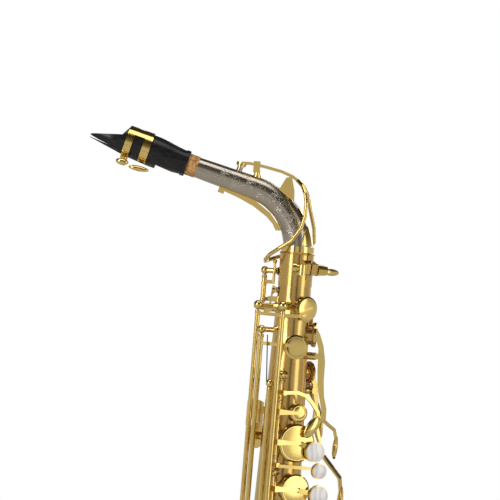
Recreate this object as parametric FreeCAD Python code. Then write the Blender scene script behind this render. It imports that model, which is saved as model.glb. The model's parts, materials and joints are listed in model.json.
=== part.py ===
import FreeCAD, Part
import math
import os
from FreeCAD import Vector as V

# Alto saxophone, millimetres.  While it is being built the body tube's axis is
# the Z axis and z = 0 is the mouth of the neck receiver; a height "down" the
# instrument is a negative z.  +X is away from the mouthpiece, -Y is the player's
# right-hand side.  On export everything is moved so that the centre of the
# strap ring's hole is the origin.

# ---- driving dimensions ----
TUBE_TOP_R = 12.5          # outer radius of the body tube at the receiver
TUBE_TAPER = 0.029         # growth of that radius for each millimetre down
TUBE_WALL = 0.8
BODY_LEN = 455.0           # receiver mouth to the bow ring
RECEIVER_R = 13.6
RECEIVER_LEN = 26.0
BELL_SPACING = 96.0        # body axis to bell axis
BELL_TURN = -15.0          # azimuth of the bell about the body axis, degrees
BELL_RIM_R = 61.0
BOW_IN_R = 25.7            # bow tube, outer radius at the body end
BOW_OUT_R = 31.0           # and at the bell end
NECK_BEND_R = 51.5         # radius of the neck's centreline
NECK_BEND_DEG = 75.0
NECK_STRAIGHT = 80.0       # straight run after the bend, to the open end
NECK_BASE_R = 11.8
NECK_TIP_R = 7.2
NECK_WALL = 0.8
TENON_LEN = 22.0
CORK_LEN = 31.0
CORK_R = 8.75
CORK_COVERED = 22.7        # cork hidden inside the mouthpiece
ROD_R = 1.0                # steel hinge rods
ROD_CLEAR = 0.06           # running clearance of a hinge tube on its rod
HINGE_R = 2.0              # outside of the hinge tubes
POST_R = 2.1
BALL_R = 3.3
CHIMNEY = 2.4              # height of a tone hole's rim over the tube
HOLE_INSET = 2.6           # pad cup radius less tone hole radius
PAD_T = 3.0
PAD_SHOW = 1.2             # how far the pad stands out of its cup
CUP_T = 2.6
SEAT_GAP = 0.2             # gap left between a closed pad and its seat
END_GAP = 0.25             # gap between neighbouring hinge tubes
RIB_T = 1.8                # thickness of the arms on the cups
PEARL_T = 2.2
RING_Z = -215.0            # strap ring height
RING_X = -28.1             # and where its hole's centre stands
RING_Y = 7.7
RING_HOLE_R = 4.5
RING_T = 3.2
RING_BAND = 2.6            # width of the ring's own metal
RING_STAND = 4.0           # tube surface to the ring's rim
LYRE_R = 1.9               # socket for a music lyre
LYRE_Y = -19.9

UP = V(0, 0, 1)
nodes = {}                 # node name -> list of solids
key_holes = []             # tone holes in the body tube: (z, azimuth, radius)
joints = []                # (name, parent, child, kind, point, axis, low, high)


# ---- places and simple solids ----
def tube_r(z):
    return TUBE_TOP_R - TUBE_TAPER * z


def radial(az):
    a = math.radians(az)
    return V(math.cos(a), math.sin(a), 0)


def tangent(az):
    a = math.radians(az)
    return V(-math.sin(a), math.cos(a), 0)


def at(az, out, side=0.0, z=0.0):
    """A point out from the body axis along az, side along the tangent."""
    return radial(az) * out + tangent(az) * side + UP * z


def cyl(start, direction, r, length):
    return Part.makeCylinder(r, length, start, direction)


def pipe(start, direction, r, bore, length):
    return cyl(start, direction, r, length).cut(
        cyl(start - direction, direction, bore, length + 2))


def rod(a, b, r):
    return cyl(a, b - a, r, (b - a).Length)


def cone(start, direction, r1, r2, length):
    return Part.makeCone(r1, r2, length, start, direction)


def prism(points, sweep):
    wire = Part.makePolygon(points + [points[0]])
    return Part.Face(wire).extrude(sweep)


def bar(a, b, normal, width, thick, width_b=None):
    """A straight, flat or tapering bar from a to b, thick along normal."""
    along = (b - a).normalize()
    across = normal.cross(along).normalize()
    lift = across.cross(along).normalize() * thick
    wb = width if width_b is None else width_b
    base = [a + across * width / 2, a - across * width / 2,
            b - across * wb / 2, b + across * wb / 2]
    return prism([p - lift * 0.5 for p in base], lift)


def fuse(shapes):
    out = shapes[0]
    if len(shapes) > 1:
        out = out.multiFuse(shapes[1:])
    return out.removeSplitter()


def solids_of(shape):
    return [s for s in shape.Solids]


def add(node, *shapes):
    for shape in shapes:
        nodes.setdefault(node, []).extend(solids_of(shape))


def band(r_in, r_out, az1, az2, z1, z2):
    """A flat curved strip round the body axis, from az1 to az2 going up."""
    ring = Part.makeCylinder(r_out, z2 - z1, V(0, 0, z1), UP, az2 - az1)
    core = Part.makeCylinder(r_in, z2 - z1 + 2, V(0, 0, z1 - 1), UP)
    piece = ring.cut(core)
    piece.rotate(V(0, 0, 0), UP, az1)
    return piece


def loft_tube(stations, wall=0.0):
    """Circles (centre, direction, radius) skinned into one smooth solid."""
    wires = [Part.Wire(Part.makeCircle(r - wall, c, d)) for c, d, r in stations]
    return Part.makeLoft(wires, True, False)


# ---- keywork ----
def hinge_tube(x, y, z_top, z_low):
    length = z_top - z_low - 2 * END_GAP
    return pipe(V(x, y, z_low + END_GAP), UP, HINGE_R, ROD_R + ROD_CLEAR, length)


def seat_level(z):
    return tube_r(z) + CHIMNEY


def cup_top(z):
    return seat_level(z) + SEAT_GAP + PAD_SHOW + CUP_T


def disc_cup(seat, out, r):
    """A pad cup over a seat: returns the brass cup and the pad below it."""
    pad_r = r - 0.7
    pad = cyl(seat + out * SEAT_GAP, out, pad_r, PAD_T)
    rim_at = seat + out * (SEAT_GAP + PAD_SHOW)
    bevel = 0.7
    skirt = cyl(rim_at, out, r, CUP_T - bevel)
    crown = cone(rim_at + out * (CUP_T - bevel), out, r, r - 2 * bevel, bevel)
    return fuse([skirt, crown]).cut(pad), pad


def cup_on_tube(z, az, r):
    key_holes.append((z, az, r - HOLE_INSET))
    return disc_cup(at(az, seat_level(z), 0, z), radial(az), r)


def pearl_touch(az, out, side, z, r, height=3.4):
    """A round touch: a shallow brass holder and the pearl button in it."""
    base = at(az, out, side, z)
    d = radial(az)
    holder = cyl(base, d, r, height)
    pearl = cyl(base + d * (height - 1.2), d, r - 0.6, PEARL_T)
    return holder.cut(pearl), pearl


def tilt_to(node, point, axis, degrees):
    for solid in nodes[node]:
        solid.rotate(point, axis, degrees)


def key_joint(node, point, axis, outward_at, outward, lift_deg, opens, parent="root"):
    """Adds the key's hinge; opens is True for a key that rests open.

    The solids are made with the pad on its seat.  A key that rests open is
    turned to its open place here, and its travel then runs back to the seat.
    """
    sign = 1 if axis.cross(outward_at - point).dot(outward) > 0 else -1
    turn = sign * lift_deg
    if opens:
        tilt_to(node, point, axis, turn)
        low, high = sorted((0, -turn))
    else:
        low, high = sorted((0, turn))
    joints.append((node + "_hinge", parent, node, "hinge", point, axis, low, high))


# ---- posts and rods of one hinge line ----
def post(x, y, z, ball=BALL_R, foot=None):
    """A ball-headed post from the tube (or a given foot) out to a hinge line."""
    head = V(x, y, z)
    if foot is None:
        flat = V(x, y, 0).normalize()
        foot = flat * (tube_r(z) - TUBE_WALL / 2) + UP * z
    d = (head - foot).normalize()
    stem = rod(foot, head, POST_R)
    base = cone(foot, d, POST_R + 1.6, POST_R, 3.0)
    return fuse([stem, base, Part.makeSphere(ball, head)])


def hinge_line(x, y, post_levels, z_top, z_low, balls=None, feet=None):
    """Posts and the steel rod that a line of keys turns on."""
    axle = cyl(V(x, y, z_low), UP, ROD_R, z_top - z_low)
    drill = cyl(V(x, y, z_low - 1), UP, ROD_R, z_top - z_low + 2)
    add("hinge_rods", axle)
    for i, z in enumerate(post_levels):
        ball = balls[i] if balls else BALL_R
        foot = feet[i] if feet else None
        shaped = post(x, y, z, ball, foot)
        add("body_posts", shaped.cut(drill))


# ---- keys of the two stacks: hinge at one side, cups over the tube's front ----
STACK_AZ = -60.0
UPPER_X, UPPER_Y = -5.2, -24.4
LOWER_X, LOWER_Y = -7.0, -32.8
UPPER_POSTS = (-97.0, -174.0, -237.0)
LOWER_POSTS = (-275.0, -337.0, -403.0, -446.0)


def local(x, y, az):
    p = V(x, y, 0)
    return p.dot(radial(az)), p.dot(tangent(az))


def rib_arm(hx, hy, z_arm, az, z_tip, side_tip, level, width=4.6, tip=1.6):
    """The arm of a stack key: up from the hinge tube, then over the cup."""
    out, side = local(hx, hy, az)
    riser = bar(at(az, out + HINGE_R * 0.6, side, z_arm),
                at(az, level + RIB_T, side, z_arm), tangent(az), width, 2.6)
    a = at(az, level + RIB_T / 2, side - 1.3, z_arm)
    b = at(az, level + RIB_T / 2, side_tip, z_tip)
    return [riser, bar(a, b, radial(az), width, RIB_T, tip)]


def stack_key(name, line, z_top, z_low, cup, touch=None, lift=9.0, extra=()):
    """cup = (z, azimuth, radius) or None; touch = (z, side, radius)."""
    hx, hy = line
    bore = cyl(V(hx, hy, z_low - 5), UP, ROD_R + ROD_CLEAR, z_top - z_low + 10)
    parts = [hinge_tube(hx, hy, z_top, z_low)]
    z, az, r = cup
    brass, pad = cup_on_tube(z, az, r)
    level = cup_top(z)
    parts += [brass] + rib_arm(hx, hy, z, az, z, 0.35 * r, level - 0.1)
    pearl = None
    if touch:
        tz, side, tr = touch
        holder, pearl = pearl_touch(az, level + 1.6, side, tz, tr)
        neck = bar(at(az, level + RIB_T / 2, 0.2 * r, z),
                   at(az, level + RIB_T / 2 + 1.2, side, tz), radial(az), 4.0, 2.4)
        parts += [holder, neck]
    parts += list(extra)
    brass_all = fuse(parts).cut(bore)
    if pearl:
        brass_all = brass_all.cut(pearl)
    add(name, brass_all, pad)
    if pearl:
        add(name, pearl)
    key_joint(name, V(hx, hy, z), UP, at(az, level, 0, z), radial(az), lift, True)


def upper_stack():
    line = (UPPER_X, UPPER_Y)
    hinge_line(*line, UPPER_POSTS, UPPER_POSTS[0] + 4, UPPER_POSTS[-1] - 4)
    # Small vent above the first key.
    stack_key("c_vent_key", line, -117, -130.5, (-126.0, STACK_AZ, 7.2), lift=7.0)
    stack_key("b_key", line, -131, -163, (-150.0, STACK_AZ, 15.3),
              (-156.0, 14.0, 8.2), lift=6.5)
    # The little in-between key: its touch sits under the first finger's pearl.
    az = STACK_AZ
    level = cup_top(-150.0)
    out, side = local(*line, az)
    tube = hinge_tube(*line, -163.5, -170)
    holder, pearl = pearl_touch(az, level + 2.6, 19.0, -171.0, 6.4, 3.0)
    arm = bar(at(az, level + 2.0, side, -168.6), at(az, level + 3.4, 16.0, -169.4),
              radial(az), 2.6, 1.8)
    riser = bar(at(az, out + 1.0, side, -168.0), at(az, level + 2.9, side, -168.0),
                tangent(az), 3.4, 2.4)
    bore = cyl(V(line[0], line[1], -175), UP, ROD_R + ROD_CLEAR, 20)
    add("bis_key", fuse([tube, holder, arm, riser]).cut(bore).cut(pearl), pearl)
    key_joint("bis_key", V(line[0], line[1], -168), UP, at(az, level, 0, -168),
              radial(az), 5.0, True)
    stack_key("a_key", line, -178, -201, (-187.0, -57.0, 12.6),
              (-190.5, 18.5, 8.2), lift=6.5)
    stack_key("g_key", line, -201.5, -233, (-218.0, STACK_AZ, 13.4),
              (-221.0, 19.0, 8.2), lift=6.5)


def front_f():
    """Lever worked by the first finger above its pearl; it tops the stack."""
    hx, hy = UPPER_X, UPPER_Y
    az = STACK_AZ
    tube = hinge_tube(hx, hy, -101, -116.5)
    level = 27.0
    out, side = local(hx, hy, az)
    riser = bar(at(az, out + 1.0, side, -110.5), at(az, level + 1.0, side, -110.5),
                tangent(az), 3.6, 2.6)
    path = [(side - 1.3, -110.5), (-5.5, -109.6), (1.5, -111.5), (8.0, -116.5),
            (14.0, -124.0)]
    pieces = [tube, riser]
    for (s1, z1), (s2, z2) in zip(path, path[1:]):
        pieces.append(bar(at(az, level, s1, z1), at(az, level, s2, z2),
                          radial(az), 2.6, 2.0))
        pieces.append(cyl(at(az, level - 1.0, s2, z2), radial(az), 1.3, 2.0))
    a = at(az, level + 1.4, 14.4, -129.0)
    b = at(az, level + 1.4, 5.0, -143.0)
    long_axis = (b - a).normalize()
    pieces.append(bar(at(az, level, 14.0, -124.0), a, radial(az), 3.0, 2.2))
    touch = Part.makeSphere(5.0)
    stretch = FreeCAD.Matrix()
    stretch.scale(V(2.1, 1.0, 0.42))
    touch = touch.transformGeometry(stretch)
    across = radial(az).cross(long_axis).normalize()
    turn = FreeCAD.Matrix(long_axis.x, across.x, radial(az).x, 0,
                          long_axis.y, across.y, radial(az).y, 0,
                          long_axis.z, across.z, radial(az).z, 0, 0, 0, 0, 1)
    touch = touch.transformGeometry(turn)
    touch.translate((a + b) * 0.5)
    pieces.append(touch)
    bore = cyl(V(hx, hy, -120), UP, ROD_R + ROD_CLEAR, 22)
    add("front_f_lever", fuse(pieces).cut(bore))
    key_joint("front_f_lever", V(hx, hy, -110), UP, at(az, level, 0, -110),
              radial(az), 3.0, True)


def lower_stack():
    line = (LOWER_X, LOWER_Y)
    hinge_line(*line, LOWER_POSTS, LOWER_POSTS[0] + 4, LOWER_POSTS[-1] - 4)
    rows = (("f_sharp_vent_key", -279, -301, (-289.0, STACK_AZ, 11.6), None),
            ("f_key", -301.5, -333, (-317.0, STACK_AZ, 13.6), (-322.0, 17.0, 8.4)),
            ("e_key", -341, -365, (-350.0, STACK_AZ, 14.0), (-350.0, 17.0, 8.4)),
            ("d_key", -365.5, -399, (-383.0, STACK_AZ, 15.0), (-377.0, 17.0, 8.4)))
    for name, top, low, cup, touch in rows:
        stack_key(name, line, top, low, cup, touch, lift=6.5)


# ---- long side keys: rod at the player's side, cup reached by a curved band ----
# Each arm is a chain of plan points; the last one lies on the cup.
SIDE_ARM_T = 2.0
SIDE_ARM_W = 2.8
SIDE_LIFT = 5.5


def chain(points, width, thick, end_width=None):
    """Flat bars through 3D points round the body, with rounded knuckles."""
    pieces = []
    for i, (a, b) in enumerate(zip(points, points[1:])):
        mid = (a + b) * 0.5
        normal = V(mid.x, mid.y, 0)
        along = (b - a).normalize()
        normal = (normal - along * normal.dot(along)).normalize()
        last = i == len(points) - 2
        tip = end_width if (last and end_width) else width
        pieces.append(bar(a, b, normal, width, thick, tip))
        if not last:
            across = normal.cross(along).normalize()
            pieces.append(cyl(b - across * width / 2, across, thick / 2, width))
    return pieces


def paddle(az, out, z_top, z_low, wide, thick=2.0):
    """A finger touch: a rounded plate facing out at azimuth az."""
    length = z_top - z_low
    r = wide / 2
    base = at(az, out, 0, 0)
    d = radial(az)
    mid = bar(base + UP * (z_low + r), base + UP * (z_top - r), d, wide, thick)
    low = cyl(base - d * thick / 2 + UP * (z_low + r), d, r, thick)
    top = cyl(base - d * thick / 2 + UP * (z_top - r), d, r, thick)
    return fuse([mid, low, top]) if length > wide else fuse([low, top])


def side_key(name, line, tube, cup, arm_z, arm_plan, touch, touch_path):
    """A long key: hinge tube, cup on one side of it and finger touch on the other.

    tube = (top, foot); cup = (z, azimuth, radius); touch = (azimuth, out, z top,
    z low, width).  arm_plan and touch_path are the points the arms pass through.
    """
    hx, hy = line
    z, az, r = cup
    brass, pad = cup_on_tube(z, az, r)
    level = cup_top(z) + RIB_T / 2 - 0.1
    arm = [V(hx, hy, arm_z)] + [V(x, y, arm_z) for x, y in arm_plan]
    arm += [at(az, level, -0.9 * r, arm_z)]
    pieces = [hinge_tube(hx, hy, *tube), brass]
    pieces += chain(arm, SIDE_ARM_W, SIDE_ARM_T)
    pieces.append(bar(at(az, level, -0.95 * r, arm_z), at(az, level, 0.45 * r, z + 1.0),
                      radial(az), SIDE_ARM_W, RIB_T, 1.2))
    taz, tout, t_top, t_low, wide = touch
    pieces.append(paddle(taz, tout, t_top, t_low, wide))
    reach = [V(hx, hy, touch_path[0][2])] + [V(*p) for p in touch_path]
    reach.append(at(taz, tout, 0, min(t_top - wide / 2, touch_path[-1][2])))
    pieces += chain(reach, SIDE_ARM_W + 0.8, SIDE_ARM_T)
    bore = cyl(V(hx, hy, tube[1] - 2), UP, ROD_R + ROD_CLEAR, tube[0] - tube[1] + 4)
    add(name, fuse(pieces).cut(bore), pad)
    key_joint(name, V(hx, hy, z), UP, at(az, level, 0, z), radial(az), SIDE_LIFT, False)


LINE_F_SHARP = (-27.8, -6.0)
LINE_HIGH_E = (-23.6, -14.4)
LINE_SIDE_C = (-8.4, -29.0)
LINE_SIDE_BB = (-13.6, -24.2)
TOUCH_OUT = 39.5           # how far the side touches stand from the body axis


def side_keys():
    hinge_line(*LINE_F_SHARP, (-43.0, -384.0), -40, -388, (3.8, BALL_R))
    hinge_line(*LINE_HIGH_E, (-62.0, -265.0), -59, -269)
    hinge_line(*LINE_SIDE_C, (-42.0, -262.0), -39, -265, (4.0, BALL_R))
    hinge_line(*LINE_SIDE_BB, (-104.0, -317.0), -101, -321)
    side_key("high_f_sharp_key", LINE_F_SHARP, (-47.2, -380.2), (-43.0, -55.0, 9.8),
             -49.5, [(-21.0, -15.0), (-10.0, -21.5)],
             (176.0, TOUCH_OUT, -350.0, -376.0, 11.0), [(-34.0, -4.0, -362.0)])
    side_key("high_e_key", LINE_HIGH_E, (-65.6, -261.2), (-74.0, -76.0, 9.8),
             -73.0, [(-14.5, -18.6), (-9.0, -21.6)],
             (178.0, TOUCH_OUT, -238.0, -260.0, 10.0),
             [(-31.5, -17.0, -250.0), (-37.5, -8.0, -250.0)])
    side_key("side_c_key", LINE_SIDE_C, (-46.4, -258.2), (-247.0, -72.0, 9.0),
             -247.0, [],
             (180.0, TOUCH_OUT, -266.0, -288.0, 10.0),
             [(-13.0, -35.5, -254.0), (-27.0, -28.0, -262.0), (-36.5, -14.0, -270.0)])
    side_key("side_bb_key", LINE_SIDE_BB, (-107.6, -313.2), (-264.2, -75.0, 7.4),
             -268.0, [(-6.0, -26.6)],
             (180.0, TOUCH_OUT, -292.0, -314.0, 10.0),
             [(-22.0, -31.0, -300.0), (-33.0, -20.5, -300.0), (-38.5, -8.0, -300.0)])


# ---- palm keys and other levers that rock on a pin across the body ----
def forked_post(az, pin_out, pin_z, stem_r, half=4.4):
    """A post with two cheeks, and the short steel pin between them."""
    d, t = radial(az), tangent(az)
    pin_at = at(az, pin_out, 0, pin_z)
    drill = cyl(pin_at - t * (half + 3), t, ROD_R, 2 * half + 6)
    add("hinge_rods", cyl(pin_at - t * (half + 1), t, ROD_R, 2 * half + 2))
    shelf = pin_out - HINGE_R - 2.6
    stem = rod(at(az, tube_r(pin_z) - TUBE_WALL / 2, 0, pin_z),
               at(az, shelf, 0, pin_z), stem_r)
    yoke = bar(at(az, shelf, -half - 0.8, pin_z), at(az, shelf, half + 0.8, pin_z),
               d, 4.6, 2.0)
    cheeks = [bar(at(az, shelf - 0.5, s * half, pin_z),
                  at(az, pin_out + 2.0, s * half, pin_z), t, 4.2, 1.6)
              for s in (-1, 1)]
    add("body_posts", fuse([stem, yoke] + cheeks).cut(drill))
    return pin_at, t


def lever_key(name, az, cup, pin_out, pin_z, outline, path, plate_w, lift=4.5,
              stem_r=3.0):
    """A rocking key: cup above its pin and a finger touch below it.

    outline is the blade's side view as (out, z) points; path is the run of 3D
    points from the blade to the touch, whose last two points are the plate.
    """
    z, r = cup
    thick = 2.8
    d, t = radial(az), tangent(az)
    pin_at, _ = forked_post(az, pin_out, pin_z, stem_r)
    brass, pad = cup_on_tube(z, az, r)
    blade = prism([at(az, o, -thick / 2, zz) for o, zz in outline], t * thick)
    hub = cyl(pin_at - t * 3.3, t, HINGE_R + 0.4, 6.6)
    points = [V(*p) for p in path]
    run = chain(points[:-1], 3.4, 2.6)
    top, low = points[-2], points[-1]
    face = V(top.x, top.y, 0).normalize()
    plate = bar(top, low, face, plate_w, 2.0)
    tip = cyl(low - face * 0.9, face, plate_w / 2 - 0.05, 1.8)
    bore = cyl(pin_at - t * 6, t, ROD_R + ROD_CLEAR, 12)
    add(name, fuse([brass, blade, hub, plate, tip] + run).cut(bore), pad)
    key_joint(name, pin_at, t, at(az, cup_top(z), 0, z), d, lift, False)


def palm_keys():
    lever_key("palm_eb_key", 0.0, (-63.5, 10.0), 26.2, -80.5,
              [(20.6, -58), (23.6, -63), (27.0, -72), (29.2, -84), (29.4, -100),
               (30.6, -112), (33.4, -122), (33.6, -130), (31.4, -134), (29.0, -130),
               (29.6, -124), (27.0, -114), (24.6, -104), (23.6, -90), (23.0, -74),
               (20.6, -67)],
              [(31.6, 0, -131), (36.0, 0.5, -134.5), (41.0, 1.0, -138.0),
               (43.2, 1.5, -146.0), (42.6, 2.0, -158.0)], 7.0)
    lever_key("palm_d_key", 33.0, (-94.0, 9.0), 27.4, -108.5,
              [(21.4, -89), (24.6, -93), (28.6, -103), (30.8, -113), (31.6, -126),
               (30.4, -134), (28.2, -133), (28.8, -122), (26.4, -113), (24.6, -104),
               (21.4, -98)],
              [(24.8, 16.0, -131), (29.0, 15.5, -146), (34.0, 14.5, -160),
               (42.0, 13.0, -169), (48.6, 12.4, -176.5), (50.7, 12.0, -189.4),
               (50.2, 12.0, -204)], 7.0)
    lever_key("palm_f_key", 62.0, (-54.0, 9.2), 25.6, -69.5,
              [(20.4, -49), (23.4, -53), (26.8, -62), (28.6, -74), (28.0, -92),
               (25.6, -92), (25.8, -76), (23.6, -64), (20.4, -58)],
              [(12.6, 23.8, -90), (17.0, 27.0, -104), (25.0, 29.5, -118),
               (29.0, 30.5, -128), (29.4, 30.0, -144)], 7.0)


# ---- octave mechanism on the body, thumb rest and thumb lever ----
LINK_X, LINK_Y = -24.6, 7.0
THUMB_AZ = 145.0
THUMB_Z = -148.0
THUMB_LINE = (-9.8, 24.2)


def octave_work():
    hinge_line(LINK_X, LINK_Y, (-15.0, -44.0), -12, -47,
               feet=[at(180, RECEIVER_R - 0.4, 0, -15) + V(0, 3, 0), None])
    bore = cyl(V(LINK_X, LINK_Y, -50), UP, ROD_R + ROD_CLEAR, 50)
    pin_at = V(-17.2, 0.5, -25.0)
    link = [hinge_tube(LINK_X, LINK_Y, -18.6, -40.4),
            bar(V(LINK_X, LINK_Y, -24), V(-17.2, 0.5, -24), V(0.6, 0.8, 0), 3.0, 2.2),
            cyl(pin_at, UP, 1.1, 17.5), Part.makeSphere(1.8, V(-17.2, 0.5, -7.5)),
            bar(V(LINK_X, LINK_Y, -38), V(LINK_X + 3.6, LINK_Y + 3.2, -38),
                V(0.7, -0.7, 0), 3.0, 2.0),
            cyl(V(LINK_X, LINK_Y, -26.2), UP, 2.6, 1.2)]
    add("octave_link", fuse(link).cut(bore))
    joints.append(("octave_link_hinge", "root", "octave_link", "hinge",
                   V(LINK_X, LINK_Y, -24), UP, -6.0, 0.0))

    # Lower octave vent: a small pad on a raised pip, on its own rocking lever.
    z, d, t = -30.0, radial(180), tangent(180)
    pip_top = tube_r(z) + 1.6
    key_holes.append((z, 180.0, 1.2))
    pin_v, _ = forked_post(180.0, 18.6, -37.5, 1.6, 3.0)
    pad = cyl(V(-pip_top - SEAT_GAP, 0, z), d, 2.6, 1.6)
    shell = cyl(V(-pip_top - SEAT_GAP - 0.8, 0, z), d, 3.2, 1.9).cut(pad)
    lever = [shell, bar(V(-pip_top - 2.2, 0, z + 1.5), V(-18.8, 0, -46.0), d, 2.6, 1.6),
             cyl(pin_v - t * 1.9, t, HINGE_R, 3.8)]
    hole = cyl(pin_v - t * 4, t, ROD_R + ROD_CLEAR, 8)
    add("body_octave_key", fuse(lever).cut(hole).cut(pad), pad)
    key_joint("body_octave_key", pin_v, t, V(-pip_top, 0, z), d, 5.0, False)

    # Thumb rest: a domed button on a pillar, and the lever that curves over it.
    rest_out = 24.6
    pillar = rod(at(THUMB_AZ, tube_r(THUMB_Z) - 0.4, 0, THUMB_Z),
                 at(THUMB_AZ, rest_out + 0.5, 0, THUMB_Z), 3.2)
    disc = cyl(at(THUMB_AZ, rest_out, 0, THUMB_Z), radial(THUMB_AZ), 10.4, 1.8)
    dome = cone(at(THUMB_AZ, rest_out + 1.8, 0, THUMB_Z), radial(THUMB_AZ), 10.4, 7.4, 1.1)
    add("thumb_rest", fuse([pillar, disc, dome]))
    hinge_line(*THUMB_LINE, (-40.0, -168.0), -37, -171)
    ring_cut = cyl(at(THUMB_AZ, 20, 0, THUMB_Z), radial(THUMB_AZ), 12.6, 20)
    plate = band(29.6, 31.6, 124, 163, -146.0, -119.0).cut(ring_cut)
    crown = cyl(at(THUMB_AZ, 20, 0, -142.0), radial(THUMB_AZ), 23.0, 20)
    lever = [hinge_tube(*THUMB_LINE, -43.6, -164.4), plate.common(crown)]
    lever += chain([V(*THUMB_LINE, -126), at(124, 30.2, 0, -128), at(134, 30.6, 0, -130)],
                   5.0, 2.0)
    lever += chain([V(*THUMB_LINE, -46.5), at(132, 25.4, 0, -46.5),
                    at(155, 24.6, 0, -47.5)], 2.8, SIDE_ARM_T)
    bore = cyl(V(*THUMB_LINE, -170), UP, ROD_R + ROD_CLEAR, 135)
    add("thumb_octave_lever", fuse(lever).cut(bore))
    joints.append(("thumb_octave_hinge", "root", "thumb_octave_lever", "hinge",
                   V(*THUMB_LINE, -100), UP, -5.0, 0.0))


# ---- bow and bell ----
BOW_Z = -462.0
BOW_R = BELL_SPACING / 2
BOW_WALL = 0.9
BELL_PROFILE = ((31.0, -455.0), (33.0, -425.0), (36.6, -385.0), (40.6, -345.0),
                (46.0, -300.0), (BELL_RIM_R - 8.0, -262.0), (BELL_RIM_R, -240.0))
CLEAR_RING = 0.2


def bp(p, q, z):
    """A point in the bell's plane: p towards the bell, q to the player's left."""
    return radial(BELL_TURN) * p + tangent(BELL_TURN) * q + UP * z


BELL_AXIS = bp(BELL_SPACING, 0, 0)
P_DIR = radial(BELL_TURN)
Q_DIR = tangent(BELL_TURN)


def bow_stations(grow=0.0, first=-BODY_LEN):
    stations = [(bp(0, 0, first), V(0, 0, -1), BOW_IN_R + grow),
                (bp(0, 0, BOW_Z), V(0, 0, -1), BOW_IN_R + 0.1 + grow)]
    steps = 8
    for i in range(1, steps):
        a = math.pi * i / steps
        r = BOW_IN_R + (BOW_OUT_R - BOW_IN_R) * i / steps
        centre = bp(BOW_R - BOW_R * math.cos(a), 0, BOW_Z - BOW_R * math.sin(a))
        heading = P_DIR * math.sin(a) - UP * math.cos(a)
        stations.append((centre, heading, r + grow))
    stations += [(bp(BELL_SPACING, 0, BOW_Z), UP, BOW_OUT_R - 0.1 + grow),
                 (bp(BELL_SPACING, 0, first), UP, BOW_OUT_R + grow)]
    return stations


def bell_solid(inset):
    """The bell's outer form, or its bore when inset is the wall."""
    points = [V(r - inset, 0, z) for r, z in BELL_PROFILE]
    curve = Part.BSplineCurve()
    curve.interpolate(points)
    top, low = points[-1], points[0]
    edges = [curve.toShape(), Part.makeLine(top, V(0, 0, top.z)),
             Part.makeLine(V(0, 0, top.z), V(0, 0, low.z)),
             Part.makeLine(V(0, 0, low.z), low)]
    solid = Part.Face(Part.Wire(edges)).revolve(V(0, 0, 0), UP, 360)
    solid.translate(BELL_AXIS)
    return solid


def bell_r(z):
    """Radius of the bell's outside at a height, between the profile's points."""
    for (r1, z1), (r2, z2) in zip(BELL_PROFILE, BELL_PROFILE[1:]):
        if z1 <= z <= z2:
            return r1 + (r2 - r1) * (z - z1) / (z2 - z1)
    return BELL_PROFILE[-1][0]


# Keys on the bell and bow: (name, centre p, centre z, side, cup radius, seat level)
LOW_B = ("low_b_key", BELL_SPACING, -325.0, 1, 18.4, 46.4)
LOW_BB = ("low_bb_key", BELL_SPACING, -385.0, 1, 19.6, 39.4)
LOW_C = ("low_c_key", BOW_R, BOW_Z - BOW_R, -1, 18.0, 31.0)


def wide_seat(body, bore, key):
    """Cuts a wide tone hole in a bell or bow and stands its rim on it."""
    _, p, z, side, r, seat = key
    out = Q_DIR * side
    base = bp(p, side * (seat - 14.0), z)
    hole_r = r - HOLE_INSET
    rim = pipe(base, out, hole_r + 0.9, hole_r, 14.0).cut(bore)
    inside = cyl(base, out, hole_r, 16.0)
    # The rim starts in mid bore, so what the bore left of it on the wall is kept.
    return body.cut(inside).fuse(rim).removeSplitter()


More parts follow.
